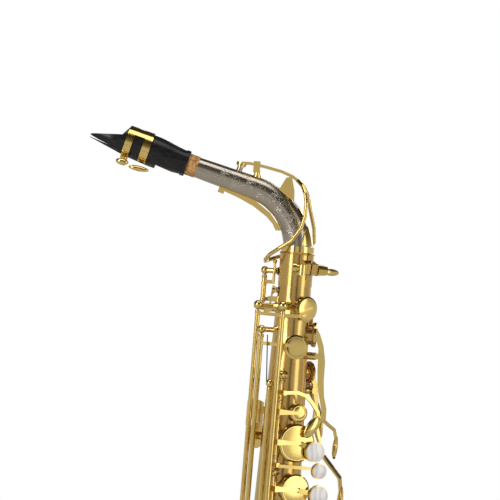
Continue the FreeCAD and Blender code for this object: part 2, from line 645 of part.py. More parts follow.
def tube_frame():
    """Body tube with its drawn tone holes, and the rings, bow and bell."""
    outer = cone(V(0, 0, -BODY_LEN), UP, tube_r(-BODY_LEN), TUBE_TOP_R, BODY_LEN)
    inner = cone(V(0, 0, -BODY_LEN - 1), UP, tube_r(-BODY_LEN - 1) - TUBE_WALL,
                 tube_r(1) - TUBE_WALL, BODY_LEN + 2)
    rims, drills = [], []
    for z, az, r in key_holes:
        wall = 0.9 if r > 3 else 1.0
        top = tube_r(z) + (CHIMNEY if r > 3 else 1.6)
        start = max(tube_r(z) * 0.3, 2.0)
        rims.append(cyl(at(az, start, 0, z), radial(az), r + wall, top - start))
        drills.append(cyl(at(az, start, 0, z), radial(az), r, top - start + 4))
    tube = outer.multiFuse(rims).cut(inner)
    for drill in drills:
        tube = tube.cut(drill)
    # The rims were started inside the bore, so only the outer piece is kept.
    add("body_tube", max(tube.Solids, key=lambda s: s.Volume))

    r = tube_r(-BODY_LEN)
    ring_bore = BOW_IN_R + CLEAR_RING
    ring = pipe(V(0, 0, -461.0), UP, r + 2.4, ring_bore, 12.0)
    bead = Part.makeTorus(r + 2.3, 0.9, V(0, 0, -455))
    add("body_bow_ring", ring.fuse(bead).cut(outer))
    ring = pipe(bp(BELL_SPACING, 0, -461.0), UP, BOW_OUT_R + 2.6,
                BOW_OUT_R + CLEAR_RING, 12.0)
    bead = Part.makeTorus(BOW_OUT_R + 2.5, 0.9, bp(BELL_SPACING, 0, -455))
    bell_form = bell_solid(0)
    add("bell_bow_ring", ring.fuse(bead).cut(bell_form))

    bow_form = loft_tube(bow_stations())
    bow_bore = loft_tube(bow_stations(-BOW_WALL))
    add("bow", wide_seat(bow_form.cut(bow_bore), bow_bore, LOW_C))
    guard = loft_tube(bow_stations(1.3)).cut(bow_form)
    keep = Part.makeBox(58, 32, 40, V(0, 0, 0))
    keep.translate(V(-29, -16, -40))
    keep.rotate(V(0, 0, 0), UP, BELL_TURN)
    keep.translate(bp(BOW_R, 0, BOW_Z - BOW_R - 14))
    add("bow_guard", guard.common(keep))

    bell_bore = bell_solid(0.8)
    bell = bell_form.cut(bell_bore)
    bell = wide_seat(bell, bell_bore, LOW_B)
    bell = wide_seat(bell, bell_bore, LOW_BB)
    add("bell", max(bell.Solids, key=lambda s: s.Volume))
    rim = Part.makeTorus(BELL_RIM_R, 1.5, V(BELL_AXIS.x, BELL_AXIS.y, -240.0 + 0.6))
    add("bell_rim", rim.cut(bell_form).cut(bell_bore))
    return bell_form, bow_form, outer


# ---- receiver, its screws, strap ring, thumb hook ----
SLIT_AZ = -54.0


def receiver():
    d, t = radial(SLIT_AZ), tangent(SLIT_AZ)
    sleeve = cyl(V(0, 0, -RECEIVER_LEN), UP, RECEIVER_R, RECEIVER_LEN + 1.0)
    lip = Part.makeTorus(RECEIVER_R - 0.2, 0.9, V(0, 0, 0.2))
    shapes = [sleeve, lip]
    for near, far in ((0.6, 6.6), (-5.6, -0.6)):
        cheek = bar(at(SLIT_AZ, 11.5, (near + far) / 2, -10.5),
                    at(SLIT_AZ, 20.2, (near + far) / 2, -11.5), t, 13.0,
                    abs(far - near), 8.0)
        shapes.append(cheek)
    body = fuse(shapes)
    tube = cone(V(0, 0, -60), UP, tube_r(-60), TUBE_TOP_R, 60)
    slit = bar(at(SLIT_AZ, 10, 0, -9.5), at(SLIT_AZ, 24, 0, -9.5), t, 22.0, 1.2)
    drill = cyl(at(SLIT_AZ, 17.0, -8, -12.0), t, 1.6, 18)
    bore = cyl(V(0, 0, 0), UP, NECK_BASE_R + 0.15, 4)
    add("neck_receiver", body.cut(tube).cut(bore).cut(slit).cut(drill))

    # Tightening screw: shank through the cheeks, then a knob with an oval wing.
    start = at(SLIT_AZ, 17.0, -5.4, -12.0)
    shank = cyl(start, t, 1.5, 16)
    knob = cone(at(SLIT_AZ, 17.0, 7.0, -11.6), t, 4.8, 4.0, 9.5)
    stretch = FreeCAD.Matrix()
    stretch.scale(V(7.6, 1.1, 2.8))
    wing = Part.makeSphere(1.0).transformGeometry(stretch)
    wing.rotate(V(0, 0, 0), UP, SLIT_AZ + 90)
    wing.translate(at(SLIT_AZ, 17.0, 22.6, -12.6))
    add("neck_screw", fuse([shank, knob, wing]))
    joints.append(("neck_screw_turn", "root", "neck_screw", "hinge",
                   at(SLIT_AZ, 17.0, 0, -12.0), t, -180.0, 180.0))

    # Socket for a music lyre, and the little screw that holds it.
    holder = cyl(V(4.6, LYRE_Y, -16.6), UP, 3.3, 8.2)
    web = bar(V(4.0, -12.5, -12.5), V(4.6, LYRE_Y + 1.0, -12.5), UP, 4.6, 6.6)
    nut = cyl(V(3.4, LYRE_Y, -11.0), V(-1, 0, 0), 2.6, 3.2)
    block = fuse([holder, web, nut]).cut(tube)
    block = block.cut(cyl(V(0, 0, -30), UP, RECEIVER_R, 32))
    block = block.cut(cyl(V(4.6, LYRE_Y, -18), UP, LYRE_R, 12))
    screw_hole = cyl(V(5.2, LYRE_Y, -11.0), V(-1, 0, 0), 1.06, 8)
    block = block.cut(screw_hole)
    cheeks = body.cut(slit)
    add("lyre_holder", max(block.cut(cheeks).Solids, key=lambda s: s.Volume))
    screw = [cyl(V(2.4, LYRE_Y, -11.0), V(-1, 0, 0), 1.0, 3.5),
             cyl(V(0.1, LYRE_Y, -11.0), V(-1, 0, 0), 3.9, 3.0)]
    add("lyre_screw", fuse(screw))
    joints.append(("lyre_screw_turn", "root", "lyre_screw", "hinge",
                   V(0, LYRE_Y, -11.0), V(-1, 0, 0), -180.0, 180.0))


def strap_and_hook():
    outer = cone(V(0, 0, -BODY_LEN), UP, tube_r(-BODY_LEN), TUBE_TOP_R, BODY_LEN)
    ring = cyl(V(RING_X, RING_Y - RING_T / 2, RING_Z), V(0, 1, 0),
               RING_HOLE_R + RING_BAND, RING_T)
    hole = cyl(V(RING_X, RING_Y - RING_T, RING_Z), V(0, 1, 0), RING_HOLE_R, 2 * RING_T)
    neck = Part.makeBox(9, RING_T, 7.0, V(RING_X + RING_HOLE_R, RING_Y - RING_T / 2,
                                          RING_Z - 3.5))
    foot_az = math.degrees(math.atan2(RING_Y, RING_X))
    foot = cyl(at(foot_az, 10, 0, RING_Z), radial(foot_az), 8.5, 12)
    foot = foot.common(band(12, tube_r(RING_Z) + 1.2, foot_az - 40, foot_az + 40,
                            RING_Z - 12, RING_Z + 12))
    add("strap_ring", fuse([ring, neck, foot]).cut(hole).cut(outer))

    z = -330.0
    az = 148.0
    foot = cyl(at(az, 10, 0, z), radial(az), 9.0, 20)
    foot = foot.common(band(12, tube_r(z) + 1.4, az - 40, az + 40, z - 14, z + 14))
    stem = rod(at(az, 18, 0, z), at(az, 31, 0, z), 3.0)
    hook = [foot, stem,
            bar(at(az, 28.5, 0, z + 1), at(az, 38.5, 0, z - 0.5), UP, 13.0, 2.2, 15.0)]
    hook.append(bar(at(az, 38.5, 0, z + 0.6), at(az, 42.0, 0, z - 9.5),
                    (radial(az) + UP * 0.3).normalize(), 15.0, 2.2, 12.0))
    add("thumb_hook", fuse(hook).cut(outer))


# ---- neck ----
def neck_point(s, lift=0.0):
    """Point and direction along the neck's centreline, lifted off its upper side."""
    arc = NECK_BEND_R * math.radians(NECK_BEND_DEG)
    if s <= arc:
        a = s / NECK_BEND_R
        p = V(NECK_BEND_R * (math.cos(a) - 1), 0, NECK_BEND_R * math.sin(a))
        d = V(-math.sin(a), 0, math.cos(a))
    else:
        a = math.radians(NECK_BEND_DEG)
        d = V(-math.sin(a), 0, math.cos(a))
        p = V(NECK_BEND_R * (math.cos(a) - 1), 0, NECK_BEND_R * math.sin(a))
        p = p + d * (s - arc)
    up = V(math.cos(a), 0, math.sin(a))
    return p + up * lift, d


NECK_LEN = NECK_BEND_R * math.radians(NECK_BEND_DEG) + NECK_STRAIGHT
CORK_FROM = NECK_LEN - CORK_LEN
VENT_S = 84.0              # where the neck's octave vent stands


def neck_r(s):
    """Outer radius of the neck along its centreline."""
    points = ((0, NECK_BASE_R), (33, 10.2), (67, 9.2), (CORK_FROM, 8.2),
              (NECK_LEN, NECK_TIP_R))
    for (s1, r1), (s2, r2) in zip(points, points[1:]):
        if s <= s2:
            return r1 + (r2 - r1) * (s - s1) / (s2 - s1)
    return NECK_TIP_R


def neck_stations(grow=0.0, s_from=0.15, s_to=None):
    s_to = NECK_LEN if s_to is None else s_to
    count = 12
    out = []
    for i in range(count + 1):
        s = s_from + (s_to - s_from) * i / count
        p, d = neck_point(s)
        out.append((p, d, neck_r(s) + grow))
    return out


def plate_round_neck(s1, s2, grow, profile):
    """A thin plate that follows the neck, trimmed to a side view's outline."""
    skin = loft_tube(neck_stations(grow, s1, s2))
    skin = skin.cut(loft_tube(neck_stations()))
    outline = prism([V(x, -30, z) for x, z in profile], V(0, 60, 0))
    return skin.common(outline)


def neck_parts():
    form = loft_tube(neck_stations())
    bore = loft_tube(neck_stations(-NECK_WALL))
    vent_at, vent_dir = neck_point(VENT_S)
    out = V(math.cos(math.radians(NECK_BEND_DEG)), 0, math.sin(math.radians(NECK_BEND_DEG)))
    vent_r = neck_r(VENT_S)
    pip = cyl(vent_at + out * 3, out, 2.4, vent_r - 3 + 3.4).cut(bore)
    pip_hole = cyl(vent_at + out * 3, out, 0.9, vent_r + 4)
    tube = form.cut(bore).cut(pip_hole)
    rest = pip.cut(form).cut(pip_hole)
    add("neck_tube", max(tube.fuse(rest).removeSplitter().Solids, key=lambda q: q.Volume))

    collar = pipe(V(0, 0, 1.2), UP, 13.2, NECK_BASE_R + 0.4, 4.8)
    tenon_r = TUBE_TOP_R - TUBE_WALL - 0.12
    sleeve = pipe(V(0, 0, -TENON_LEN), UP, tenon_r, tenon_r - 1.0, TENON_LEN + 1.2)
    web = pipe(V(0, 0, 1.2), UP, 12.6, NECK_BASE_R - NECK_WALL, 1.6).cut(form)
    lower = pipe(V(0, 0, -1.5), UP, tenon_r, NECK_BASE_R - NECK_WALL, 2.8).cut(form)
    add("neck_tenon", fuse([collar, sleeve, web, lower]).cut(form))

    cork = cyl(neck_point(CORK_FROM)[0], neck_point(CORK_FROM)[1], CORK_R, CORK_LEN - 1.5)
    add("neck_cork", cork.cut(form))

    # Brace under the bend, saddle over it, heel plate at the foot.
    brace = prism([V(-63.5, -1.6, 48.2), V(-48, -1.6, 44.2), V(-36, -1.6, 39.0),
                   V(-24.5, -1.6, 31.0), V(-14.0, -1.6, 18.0), V(-16.5, -1.6, 17.0),
                   V(-27.0, -1.6, 27.6), V(-38, -1.6, 35.0), V(-50, -1.6, 40.6),
                   V(-64.5, -1.6, 46.0)], V(0, 3.2, 0))
    feet = []
    for s in (28.0, 66.0, 92.0):
        p, d = neck_point(s)
        r = neck_r(s)
        up = V(0, 1, 0).cross(d)
        feet.append(bar(p - up * (r - 1.0), p - up * (r + 4.2), V(0, 1, 0), 5.0, 3.0))
    add("neck_brace", fuse([brace] + feet).cut(form))

    saddle_s = plate_round_neck(22, 75, 0.9, ((-22, 60), (-14, 49.5), (-8, 45), (-2, 38),
                                              (3, 28), (14, 30), (5, 60), (-10, 75)))
    ribs = []
    for side in (-1, 1):
        ribs.append(prism([V(-20, side * 4.4 - 0.9, 48), V(-6, side * 4.4 - 0.9, 42),
                           V(-6.4, side * 4.4 - 0.9, 50), V(-9.4, side * 4.4 - 0.9, 61),
                           V(-13.8, side * 4.4 - 0.9, 60)], V(0, 1.8, 0)))
    guide = fuse(ribs).cut(form)
    add("neck_saddle", fuse([saddle_s, guide]))
    heel = plate_round_neck(0.5, 32, 0.9, ((3.5, 7.0), (30, 7.0), (30, 16), (9.5, 28),
                                           (4.5, 17)))
    heel = heel.cut(cyl(V(0, 0, 0), UP, 14, 6.2))
    add("neck_saddle", heel)


def side_view_bars(points, y, width, thick):
    """A flat strap lying in a plane of constant y, following (x, z) points."""
    pieces = []
    for (x1, z1), (x2, z2) in zip(points, points[1:]):
        pieces.append(bar(V(x1, y, z1), V(x2, y, z2), V(0, 1, 0), width, thick))
        pieces.append(cyl(V(x2, y - thick / 2, z2), V(0, 1, 0), width / 2, thick))
    return pieces


def neck_octave():
    vent_at, along = neck_point(VENT_S)
    a = math.radians(NECK_BEND_DEG)
    out = V(math.cos(a), 0, math.sin(a))
    seat = vent_at + out * (neck_r(VENT_S) + 3.4)
    pivot = V(-38.0, 0, 67.6)
    drill = cyl(pivot - V(0, 9, 0), V(0, 1, 0), ROD_R, 18)
    stem_foot = V(-37.2, 0, 57.4)
    stem = fuse([cyl(stem_foot, V(0, 0, 1), 3.6, 2.6), cyl(stem_foot, UP, 2.6, 6.4)] +
                [Part.makeBox(5.4, 1.6, 8.6, V(-40.7, y, 62.6)) for y in (-4.8, 3.2)] +
                [Part.makeBox(5.4, 9.6, 1.8, V(-40.7, -4.8, 62.2))])
    add("neck_post", stem.cut(loft_tube(neck_stations())).cut(drill))
    add("neck_post", cyl(pivot - V(0, 4.8, 0), V(0, 1, 0), ROD_R, 9.6))

    pad = cyl(seat + out * SEAT_GAP, out, 3.3, 1.8)
    shell = cyl(seat + out * (SEAT_GAP + 0.9), out, 4.1, 2.2).cut(pad)
    top = seat + out * (SEAT_GAP + 2.9)
    pieces = [shell, cyl(pivot - V(0, 2.9, 0), V(0, 1, 0), 2.3, 5.8)]
    spine = [(top.x, top.z), (-44.0, 69.0), (-38.0, 68.4), (-30.0, 67.0), (-18.0, 64.6),
             (-9.0, 61.4), (-4.2, 58.2)]
    pieces += side_view_bars(spine, 0.0, 2.4, 3.4)
    near = [V(-4.4, -0.6, 58.2), V(-0.4, -8.5, 54.4), V(2.2, -13.8, 48.4),
            V(3.6, -15.8, 41.0), V(3.6, -16.2, 31.0), V(0.8, -16.4, 20.0),
            V(-5.5, -16.2, 10.2), V(-15.0, -13.4, 3.2), V(-22.0, -8.4, -2.2),
            V(-25.0, -2.5, -6.2), V(-25.0, 4.0, -7.6)]
    far = [V(-4.4, 0.6, 58.2), V(0.6, 9.0, 55.0), V(4.8, 14.6, 47.6),
           V(8.0, 16.4, 35.0), V(12.0, 16.4, 21.0), V(13.0, 16.4, 11.0),
           V(8.0, 17.0, 3.4), V(-6.0, 17.4, -0.4), V(-17.0, 13.8, -4.4),
           V(-23.2, 8.6, -7.0), V(-25.0, 3.0, -7.6)]
    for run in (near, far):
        for i, (p, q) in enumerate(zip(run, run[1:])):
            pieces.append(rod(p, q, 1.55))
            pieces.append(Part.makeSphere(1.55, q))
        pieces.append(Part.makeSphere(1.55, run[0]))
    bore = cyl(pivot - V(0, 4, 0), V(0, 1, 0), ROD_R + ROD_CLEAR, 8)
    add("neck_octave_key", fuse(pieces).cut(bore).cut(pad), pad)
    joints.append(("neck_octave_key_hinge", "neck_tube", "neck_octave_key", "hinge",
                   pivot, V(0, 1, 0), 0.0, 5.0))


# ---- mouthpiece ----
MOUTH_START = NECK_LEN - CORK_COVERED
MOUTH_R = ((0, 9.6), (3, 9.8), (12, 10.8), (24, 12.5), (34, 12.8), (50, 12.2),
           (66, 10.8), (82, 9.0))
MOUTH_LEN = 81.0
THROAT_R = 6.6
TABLE = ((14.0, -10.15), (50.0, -7.7), (81.0, -5.6))
WING_R = 1.3


def mp(s, side, lift):
    """A point in the mouthpiece's frame: along from the shank, side, lift."""
    p, d = neck_point(MOUTH_START + s, lift)
    return p + V(0, side, 0)


def mouth_r(s):
    for (s1, r1), (s2, r2) in zip(MOUTH_R, MOUTH_R[1:]):
        if s <= s2:
            return r1 + (r2 - r1) * (s - s1) / (s2 - s1)
    return MOUTH_R[-1][1]


def mouth_prism(points, half):
    return prism([mp(s, -half, lift) for s, lift in points], V(0, 2 * half, 0))


def table_lift(s):
    (s1, l1), (s2, l2) = TABLE[1], TABLE[2]
    return l1 + (l2 - l1) * (s - s1) / (s2 - s1)


def mouthpiece_parts():
    start, along = neck_point(MOUTH_START)
    form = loft_tube([(start + along * s, along, r) for s, r in MOUTH_R])
    end_band = cone(start, along, 10.4, 10.6, 3.4)
    form = form.fuse(end_band).removeSplitter()
    beak = mouth_prism([(51.5, 14.5), (56.5, 4.6), (81.0, -3.0), (84, -3.9), (84, 16)], 20)
    facing = [(10, table_lift(10)), (58, table_lift(58)), (66, table_lift(66) + 0.2),
              (74, table_lift(74) + 0.7), (81, table_lift(81) + 1.6),
              (84, table_lift(84) + 1.9), (84, -20), (10, -20)]
    form = form.cut(beak).cut(mouth_prism(facing, 20))
    up = V(math.cos(math.radians(NECK_BEND_DEG)), 0, math.sin(math.radians(NECK_BEND_DEG)))
    nose = cyl(mp(70.0, 0, -30), up, 11.0, 60)
    keep = mouth_prism([(-2, -30), (70, -30), (70, 30), (-2, 30)], 20)
    form = form.common(nose.fuse(keep))
    socket = cyl(start - along, along, CORK_R + 0.05, 30.0)
    throat = cyl(start, along, THROAT_R, 52.0)
    window = mouth_prism([(46, -14), (46, 4.4), (54, 3.0), (60, 1.0), (70, -1.6),
                          (78.6, -4.0), (79.0, -14)], 5.6)
    body = form.cut(socket).cut(throat).cut(window)
    add("mouthpiece", max(body.Solids, key=lambda q: q.Volume))
    joints.append(("mouthpiece_slide", "neck_tube", "mouthpiece", "slide",
                   start, along, -4.0, 6.0))

    gap = 0.02
    side_view = [(24, table_lift(24) - gap), (81, table_lift(81) - gap),
                 (81, table_lift(81) - 0.35), (64, table_lift(64) - 1.9),
                 (50, table_lift(50) - 3.2), (24, table_lift(24) - 3.3)]
    blank = mouth_prism(side_view, 12)
    plan = prism([mp(24, -7.4, -20), mp(24, 7.4, -20), mp(81.5, 8.1, -20),
                  mp(81.5, -8.1, -20)], up * 30)
    rounded = cyl(mp(20, 0, 1.6), along, 14.0, 64)
    reed = blank.common(plan).common(rounded).common(nose.fuse(keep))
    add("reed", max(reed.Solids, key=lambda q: q.Volume))

    # Ligature: two split bands, a plate over the top, lugs and screws below.
    lug_at = ((49.4, 46.8, 52.6, -16.0), (35.2, 32.0, 38.4, -16.8))
    shapes = []
    for s_screw, s1, s2, lift in lug_at:
        inner = max(mouth_r(s1), mouth_r(s2), mouth_r((s1 + s2) / 2)) + 0.05
        ring = pipe(start + along * s1, along, inner + 1.0, inner, s2 - s1)
        shapes.append(ring)
        for y1, y2 in ((-6.0, -1.6), (1.6, 6.0)):
            lug = prism([mp(s1 + 0.3, y1, -inner + 0.6), mp(s2 - 0.3, y1, -inner + 0.6),
                         mp(s2 - 0.3, y1, lift - 2.6), mp(s1 + 0.3, y1, lift - 2.6)],
                        V(0, y2 - y1, 0))
            shapes.append(lug)
    plate = pipe(start + along * 32.0, along, 13.95, 12.95, 20.0)
    roof = mouth_prism([(31, 7.6), (54, 7.6), (54, 20), (31, 20)], 20)
    shapes.append(plate.common(roof))
    ligature = fuse(shapes)
    split = mouth_prism([(28, -9), (58, -9), (58, -24), (28, -24)], 0.9)
    hole = cyl(mp(42.4, 0, 8), up, 3.4, 9)
    ligature = ligature.cut(split).cut(hole)
    ligature = ligature.cut(cyl(start + along * 20, along, 12.85, 40))
    reed_room = mouth_prism([(22, -5), (60, -5), (60, table_lift(60) - 3.35),
                             (50, table_lift(50) - 3.35), (22, table_lift(22) - 3.4)], 7.6)
    ligature = ligature.cut(reed_room)
    names = ("ligature_screw_front", "ligature_screw_back")
    wings = ((5.2, 2.6), (8.3, 2.2))
    for name, (s_screw, s1, s2, lift), (long_r, wide_r) in zip(names, lug_at, wings):
        at_y = mp(s_screw, 0, lift)
        ligature = ligature.cut(cyl(at_y - V(0, 8, 0), V(0, 1, 0), WING_R + 0.08, 16))
        shank = cyl(at_y - V(0, 11, 0), V(0, 1, 0), WING_R, 18.0)
        collar = cyl(at_y - V(0, 8.4, 0), V(0, 1, 0), 2.4, 2.2)
        head = Part.makeSphere(1.0)
        stretch = FreeCAD.Matrix()
        stretch.scale(V(long_r, 3.0, wide_r))
        head = head.transformGeometry(stretch)
        head.rotate(V(0, 0, 0), V(0, 1, 0), 8)
        head.translate(at_y - V(0, 12.0, 0))
        add(name, fuse([shank, collar, head]))
        joints.append((name + "_turn", "mouthpiece", name, "hinge", at_y,
                       V(0, 1, 0), -180.0, 180.0))
    add("ligature", max(ligature.Solids, key=lambda q: q.Volume))


# ---- left-hand table and the low keys ----
TABLE_Q = 52.0
LOW_LIFT = 5.0


def bell_line(p, q, post_levels, z_top, z_low, feet, balls=None):
    at_line = bp(p, q, 0)
    hinge_line(at_line.x, at_line.y, post_levels, z_top, z_low, balls, feet)
    return at_line.x, at_line.y


def table_plate(p1, p2, z_top, z_low):
    plate = prism([bp(p1, TABLE_Q, z_top), bp(p2, TABLE_Q, z_top),
                   bp(p2, TABLE_Q, z_low), bp(p1, TABLE_Q, z_low)], Q_DIR * 2.2)
    upright = [e for e in plate.Edges if abs(e.tangentAt(e.FirstParameter).dot(Q_DIR)) > 0.9]
    return plate.makeFillet(2.0, upright)


def low_key(name, line, tube, cup_parts, cup_run, touch, touch_run, drop, opens, cup_at,
            cup_out):
    """A low key on a vertical hinge: cup, its arm, the touch and the touch's arm."""
    hx, hy = line
    brass, pad = cup_parts
    pieces = [hinge_tube(hx, hy, *tube), brass]
    pieces += run_of(cup_run, 4.6, RIB_T)
    pieces.append(touch)
    pieces += run_of(touch_run, 4.2, 2.0)
    bore = cyl(V(hx, hy, tube[1] - 2), UP, ROD_R + ROD_CLEAR, tube[0] - tube[1] + 4)
    add(name, fuse(pieces).cut(bore), pad)
    key_joint(name, V(hx, hy, cup_at.z), UP, cup_at, cup_out, drop, opens)


def run_of(points, width, thick):
    """Upright flat bars (width along Z mostly) through plan points."""
    pieces = []
    for a, b in zip(points, points[1:]):
        along = (b - a).normalize()
        normal = UP.cross(along)
        normal = normal.normalize() if normal.Length > 0.01 else Q_DIR
        pieces.append(bar(a, b, normal, width, thick))
        if b != points[-1]:
            pieces.append(cyl(b - UP * width / 2, UP, thick / 2, width))
    return pieces


def low_keys():
    # G sharp: closed, rocks open.
    gz, gaz = -268.0, 80.0
    line = bell_line(13.5, 23.4, (-233.0, -281.0), -230, -285, None)
    brass, pad = cup_on_tube(gz, gaz, 8.5)
    level = cup_top(gz) + RIB_T / 2 - 0.2
    low_key("g_sharp_key", line, (-236.6, -277.4), (brass, pad),
            [V(line[0], line[1], gz), at(gaz, level, -9.5, gz), at(gaz, level, 3.0, gz)],
            table_plate(34, 51.5, -234, -242),
            [V(line[0], line[1], -239), bp(28, 42.6, -239), bp(35.5, 52.6, -239)],
            5.0, False, at(gaz, level, 0, gz), radial(gaz))
    # Low C sharp: closed, rocks open.
    cz, caz = -398.0, 75.0
    line = bell_line(23.1, 27.6, (-240.0, -414.0), -237, -418, None)
    brass, pad = cup_on_tube(cz, caz, 15.5)
    level = cup_top(cz) + RIB_T / 2 - 0.2
    low_key("low_c_sharp_key", line, (-243.6, -410.4), (brass, pad),
            [V(line[0], line[1], cz), at(caz, level, -16.0, cz), at(caz, level, 6.0, cz)],
            table_plate(47, 57, -244.4, -256),
            [V(line[0], line[1], -247), bp(40, 44, -247), bp(50, 52.6, -247)],
            5.0, False, at(caz, level, 0, cz), radial(caz))
    # Low B and low B flat: open, on the bell's left side.
    for key, p, q, posts, tube, plate, run_z, touch_run in (
            (LOW_B, 22.0, 48.0, (-226.0, -349.0), (-229.6, -345.4),
             (35, 45.6, -244.4, -256), -250, [(35.6, 52.6)]),
            (LOW_BB, 27.0, 40.0, (-253.4, -409.0), (-257.0, -405.4),
             (35, 57, -258.4, -267), -262, [(36.6, 52.6)])):
        name, cp, cup_z, side, r, seat = key
        foot_at = bp(BELL_SPACING, 0, posts[1])
        toward = (bp(p, q, posts[1]) - foot_at).normalize()
        low_foot = foot_at + toward * (bell_r(posts[1]) - 0.6)
        top_foot = bp(BELL_SPACING, 0, posts[0]) + toward * (bell_r(posts[0]) - 0.6)
        feet = [None, None] if key is LOW_B else [top_foot, low_foot]
        line = bell_line(p, q, posts, posts[0] + 4, posts[1] - 4, feet)
        brass, pad = disc_cup(bp(cp, seat, cup_z), Q_DIR, r)
        top = seat + SEAT_GAP + PAD_SHOW + CUP_T + RIB_T / 2 - 0.2
        cup_run = [V(line[0], line[1], cup_z), bp(p + 12, top, cup_z),
                   bp(cp - r * 0.3, top, cup_z), bp(cp + r * 0.5, top, cup_z)]
        low_key(name, line, tube, (brass, pad), cup_run, table_plate(*plate),
                [V(line[0], line[1], run_z)] + [bp(a, b, run_z) for a, b in touch_run],
                LOW_LIFT, True, bp(cp, top, cup_z), Q_DIR)
    # Low E flat: closed, on the end of the lower stack's rod.
    ez, eaz = -425.0, STACK_AZ
    hx, hy = LOWER_X, LOWER_Y
    brass, pad = cup_on_tube(ez, eaz, 13.6)
    out, side = local(hx, hy, eaz)
    level = cup_top(ez)
    touch = paddle(-132.0, 43.0, -420.0, -440.0, 13.0, 2.2)
    pieces = [hinge_tube(hx, hy, -407, -442), brass, touch]
    pieces += rib_arm(hx, hy, ez, eaz, ez, 0.35 * 13.6, level - 0.1)
    pieces += run_of([V(hx, hy, -432), at(-116, 40.5, 0, -432), at(-131, 43.2, 0, -432)],
                     4.4, 2.0)
    bore = cyl(V(hx, hy, -450), UP, ROD_R + ROD_CLEAR, 50)
    add("low_eb_key", fuse(pieces).cut(bore), pad)
    key_joint("low_eb_key", V(hx, hy, ez), UP, at(eaz, level, 0, ez), radial(eaz), 6.0,
              False)
    # Low C: open, on the bow.
    name, cp, cup_z, side, r, seat = LOW_C
    line_feet = [bp(-3.2, -24.0, -444.0), bp(5.0, -24.5, -494.0)]
    line = bell_line(-5.0, -38.0, (-455.0, -498.0), -451, -502, line_feet)
    brass, pad = disc_cup(bp(cp, -seat, cup_z), -Q_DIR, r)
    top = seat + SEAT_GAP + PAD_SHOW + CUP_T + RIB_T / 2 - 0.2
    arm = side_slope([bp(-5, -38, -489.5), bp(14, -top - 1.5, -498), bp(cp - 14, -top, -507),
                      bp(cp + 8, -top, cup_z)], 5.0, RIB_T)
    touch = prism([bp(8, -50, -453), bp(24, -50, -453), bp(24, -50, -468),
                   bp(8, -50, -468)], Q_DIR * -2.2)
    pieces = [hinge_tube(line[0], line[1], -458.6, -494.4), brass, touch] + arm
    pieces += run_of([bp(-5, -38, -463), bp(2, -46.5, -463), bp(9, -50.8, -463)], 4.4, 2.0)
    bore = cyl(V(line[0], line[1], -504), UP, ROD_R + ROD_CLEAR, 55)
    add(name, fuse(pieces).cut(bore), pad)
    key_joint(name, V(line[0], line[1], -480), UP, bp(cp, -top, -480), -Q_DIR,
              LOW_LIFT, True)


def side_slope(points, width, thick):
    """Bars over the bow, thick across the bell's plane."""
    pieces = []
    for a, b in zip(points, points[1:]):
        along = (b - a).normalize()
        normal = (Q_DIR - along * Q_DIR.dot(along)).normalize()
        pieces.append(bar(a, b, normal, width, thick))
        if b != points[-1]:
            pieces.append(cyl(b - Q_DIR * thick / 2, Q_DIR, width / 2, thick))
    return pieces


def guards(bell_form, bow_form):
    """Wire guards over the wide open cups, each with a felt stop inside."""
    for key, reach, leg1, leg2 in (
            (LOW_B, 12.4, (0, 25.0), (0, -25.0)), (LOW_BB, 12.2, (0, 26.0), (0, -26.0)),
            (LOW_C, 10.6, (-17.0, -17.0), (17.0, 17.0))):
        name, cp, z, side, r, seat = key
        top = seat + SEAT_GAP + PAD_SHOW + CUP_T
        far = top + reach
        q = seat * 0.42
        points = [(leg1, q), ((leg1[0] * 0.93, leg1[1] * 0.93), far - 2.4),
                  ((leg1[0] * 0.6, leg1[1] * 0.6), far),
                  ((leg2[0] * 0.6, leg2[1] * 0.6), far),
                  ((leg2[0] * 0.93, leg2[1] * 0.93), far - 2.4), (leg2, q)]
        places = [bp(cp + dp, side * qq, z + dz) for (dp, dz), qq in points]
        pieces = []
        for a, b in zip(places, places[1:]):
            pieces.append(rod(a, b, 1.7))
            pieces.append(Part.makeSphere(1.7, b))
        boss = cyl(bp(cp, side * (far - 1.8), z), Q_DIR * side, 4.2, 3.2)
        shape = fuse(pieces[:-1] + [boss]).cut(bell_form).cut(bow_form)
        add("key_guards", max(shape.Solids, key=lambda s: s.Volume))
        felt = cyl(bp(cp, side * (far - 3.6), z), Q_DIR * side, 3.4, 1.8)
        add("guard_felts", felt)


def brace_and_springs(bell_form, outer):
    z = -300.0
    ring = pipe(bp(36.0, -2.5, z), Q_DIR, 9.0, 6.2, 5.0)
    arms = [rod(bp(19, 0, z), bp(28, 0, z), 3.0), rod(bp(44, 0, z), bp(53, 0, z), 3.0),
            cyl(bp(18.0, 0, z), P_DIR, 7.0, tube_r(z) - 18.0 + 1.6),
            cyl(bp(46.6, 0, z), P_DIR, 7.0, 8.0)]
    brace = fuse([ring] + arms).cut(outer).cut(bell_form)
    add("bell_brace", max(brace.Solids, key=lambda s: s.Volume))
    top_spring = (V(-18.6, -19.4, -66.0), V(-16.4, -21.3, -103.0))
    runs = [top_spring]
    for hx, hy, post_z in ((UPPER_X, UPPER_Y, -174.0), (LOWER_X, LOWER_Y, -337.0),
                           (LOWER_X, LOWER_Y, -403.0)):
        flat = V(hx, hy, 0).normalize()
        near = V(hx, hy, post_z + POST_R) - flat * 3.7
        runs.append((near, near + V(-1.0, 0, 37.0)))
    for a, b in runs:
        add("needle_springs", rod(a, b, 0.45))


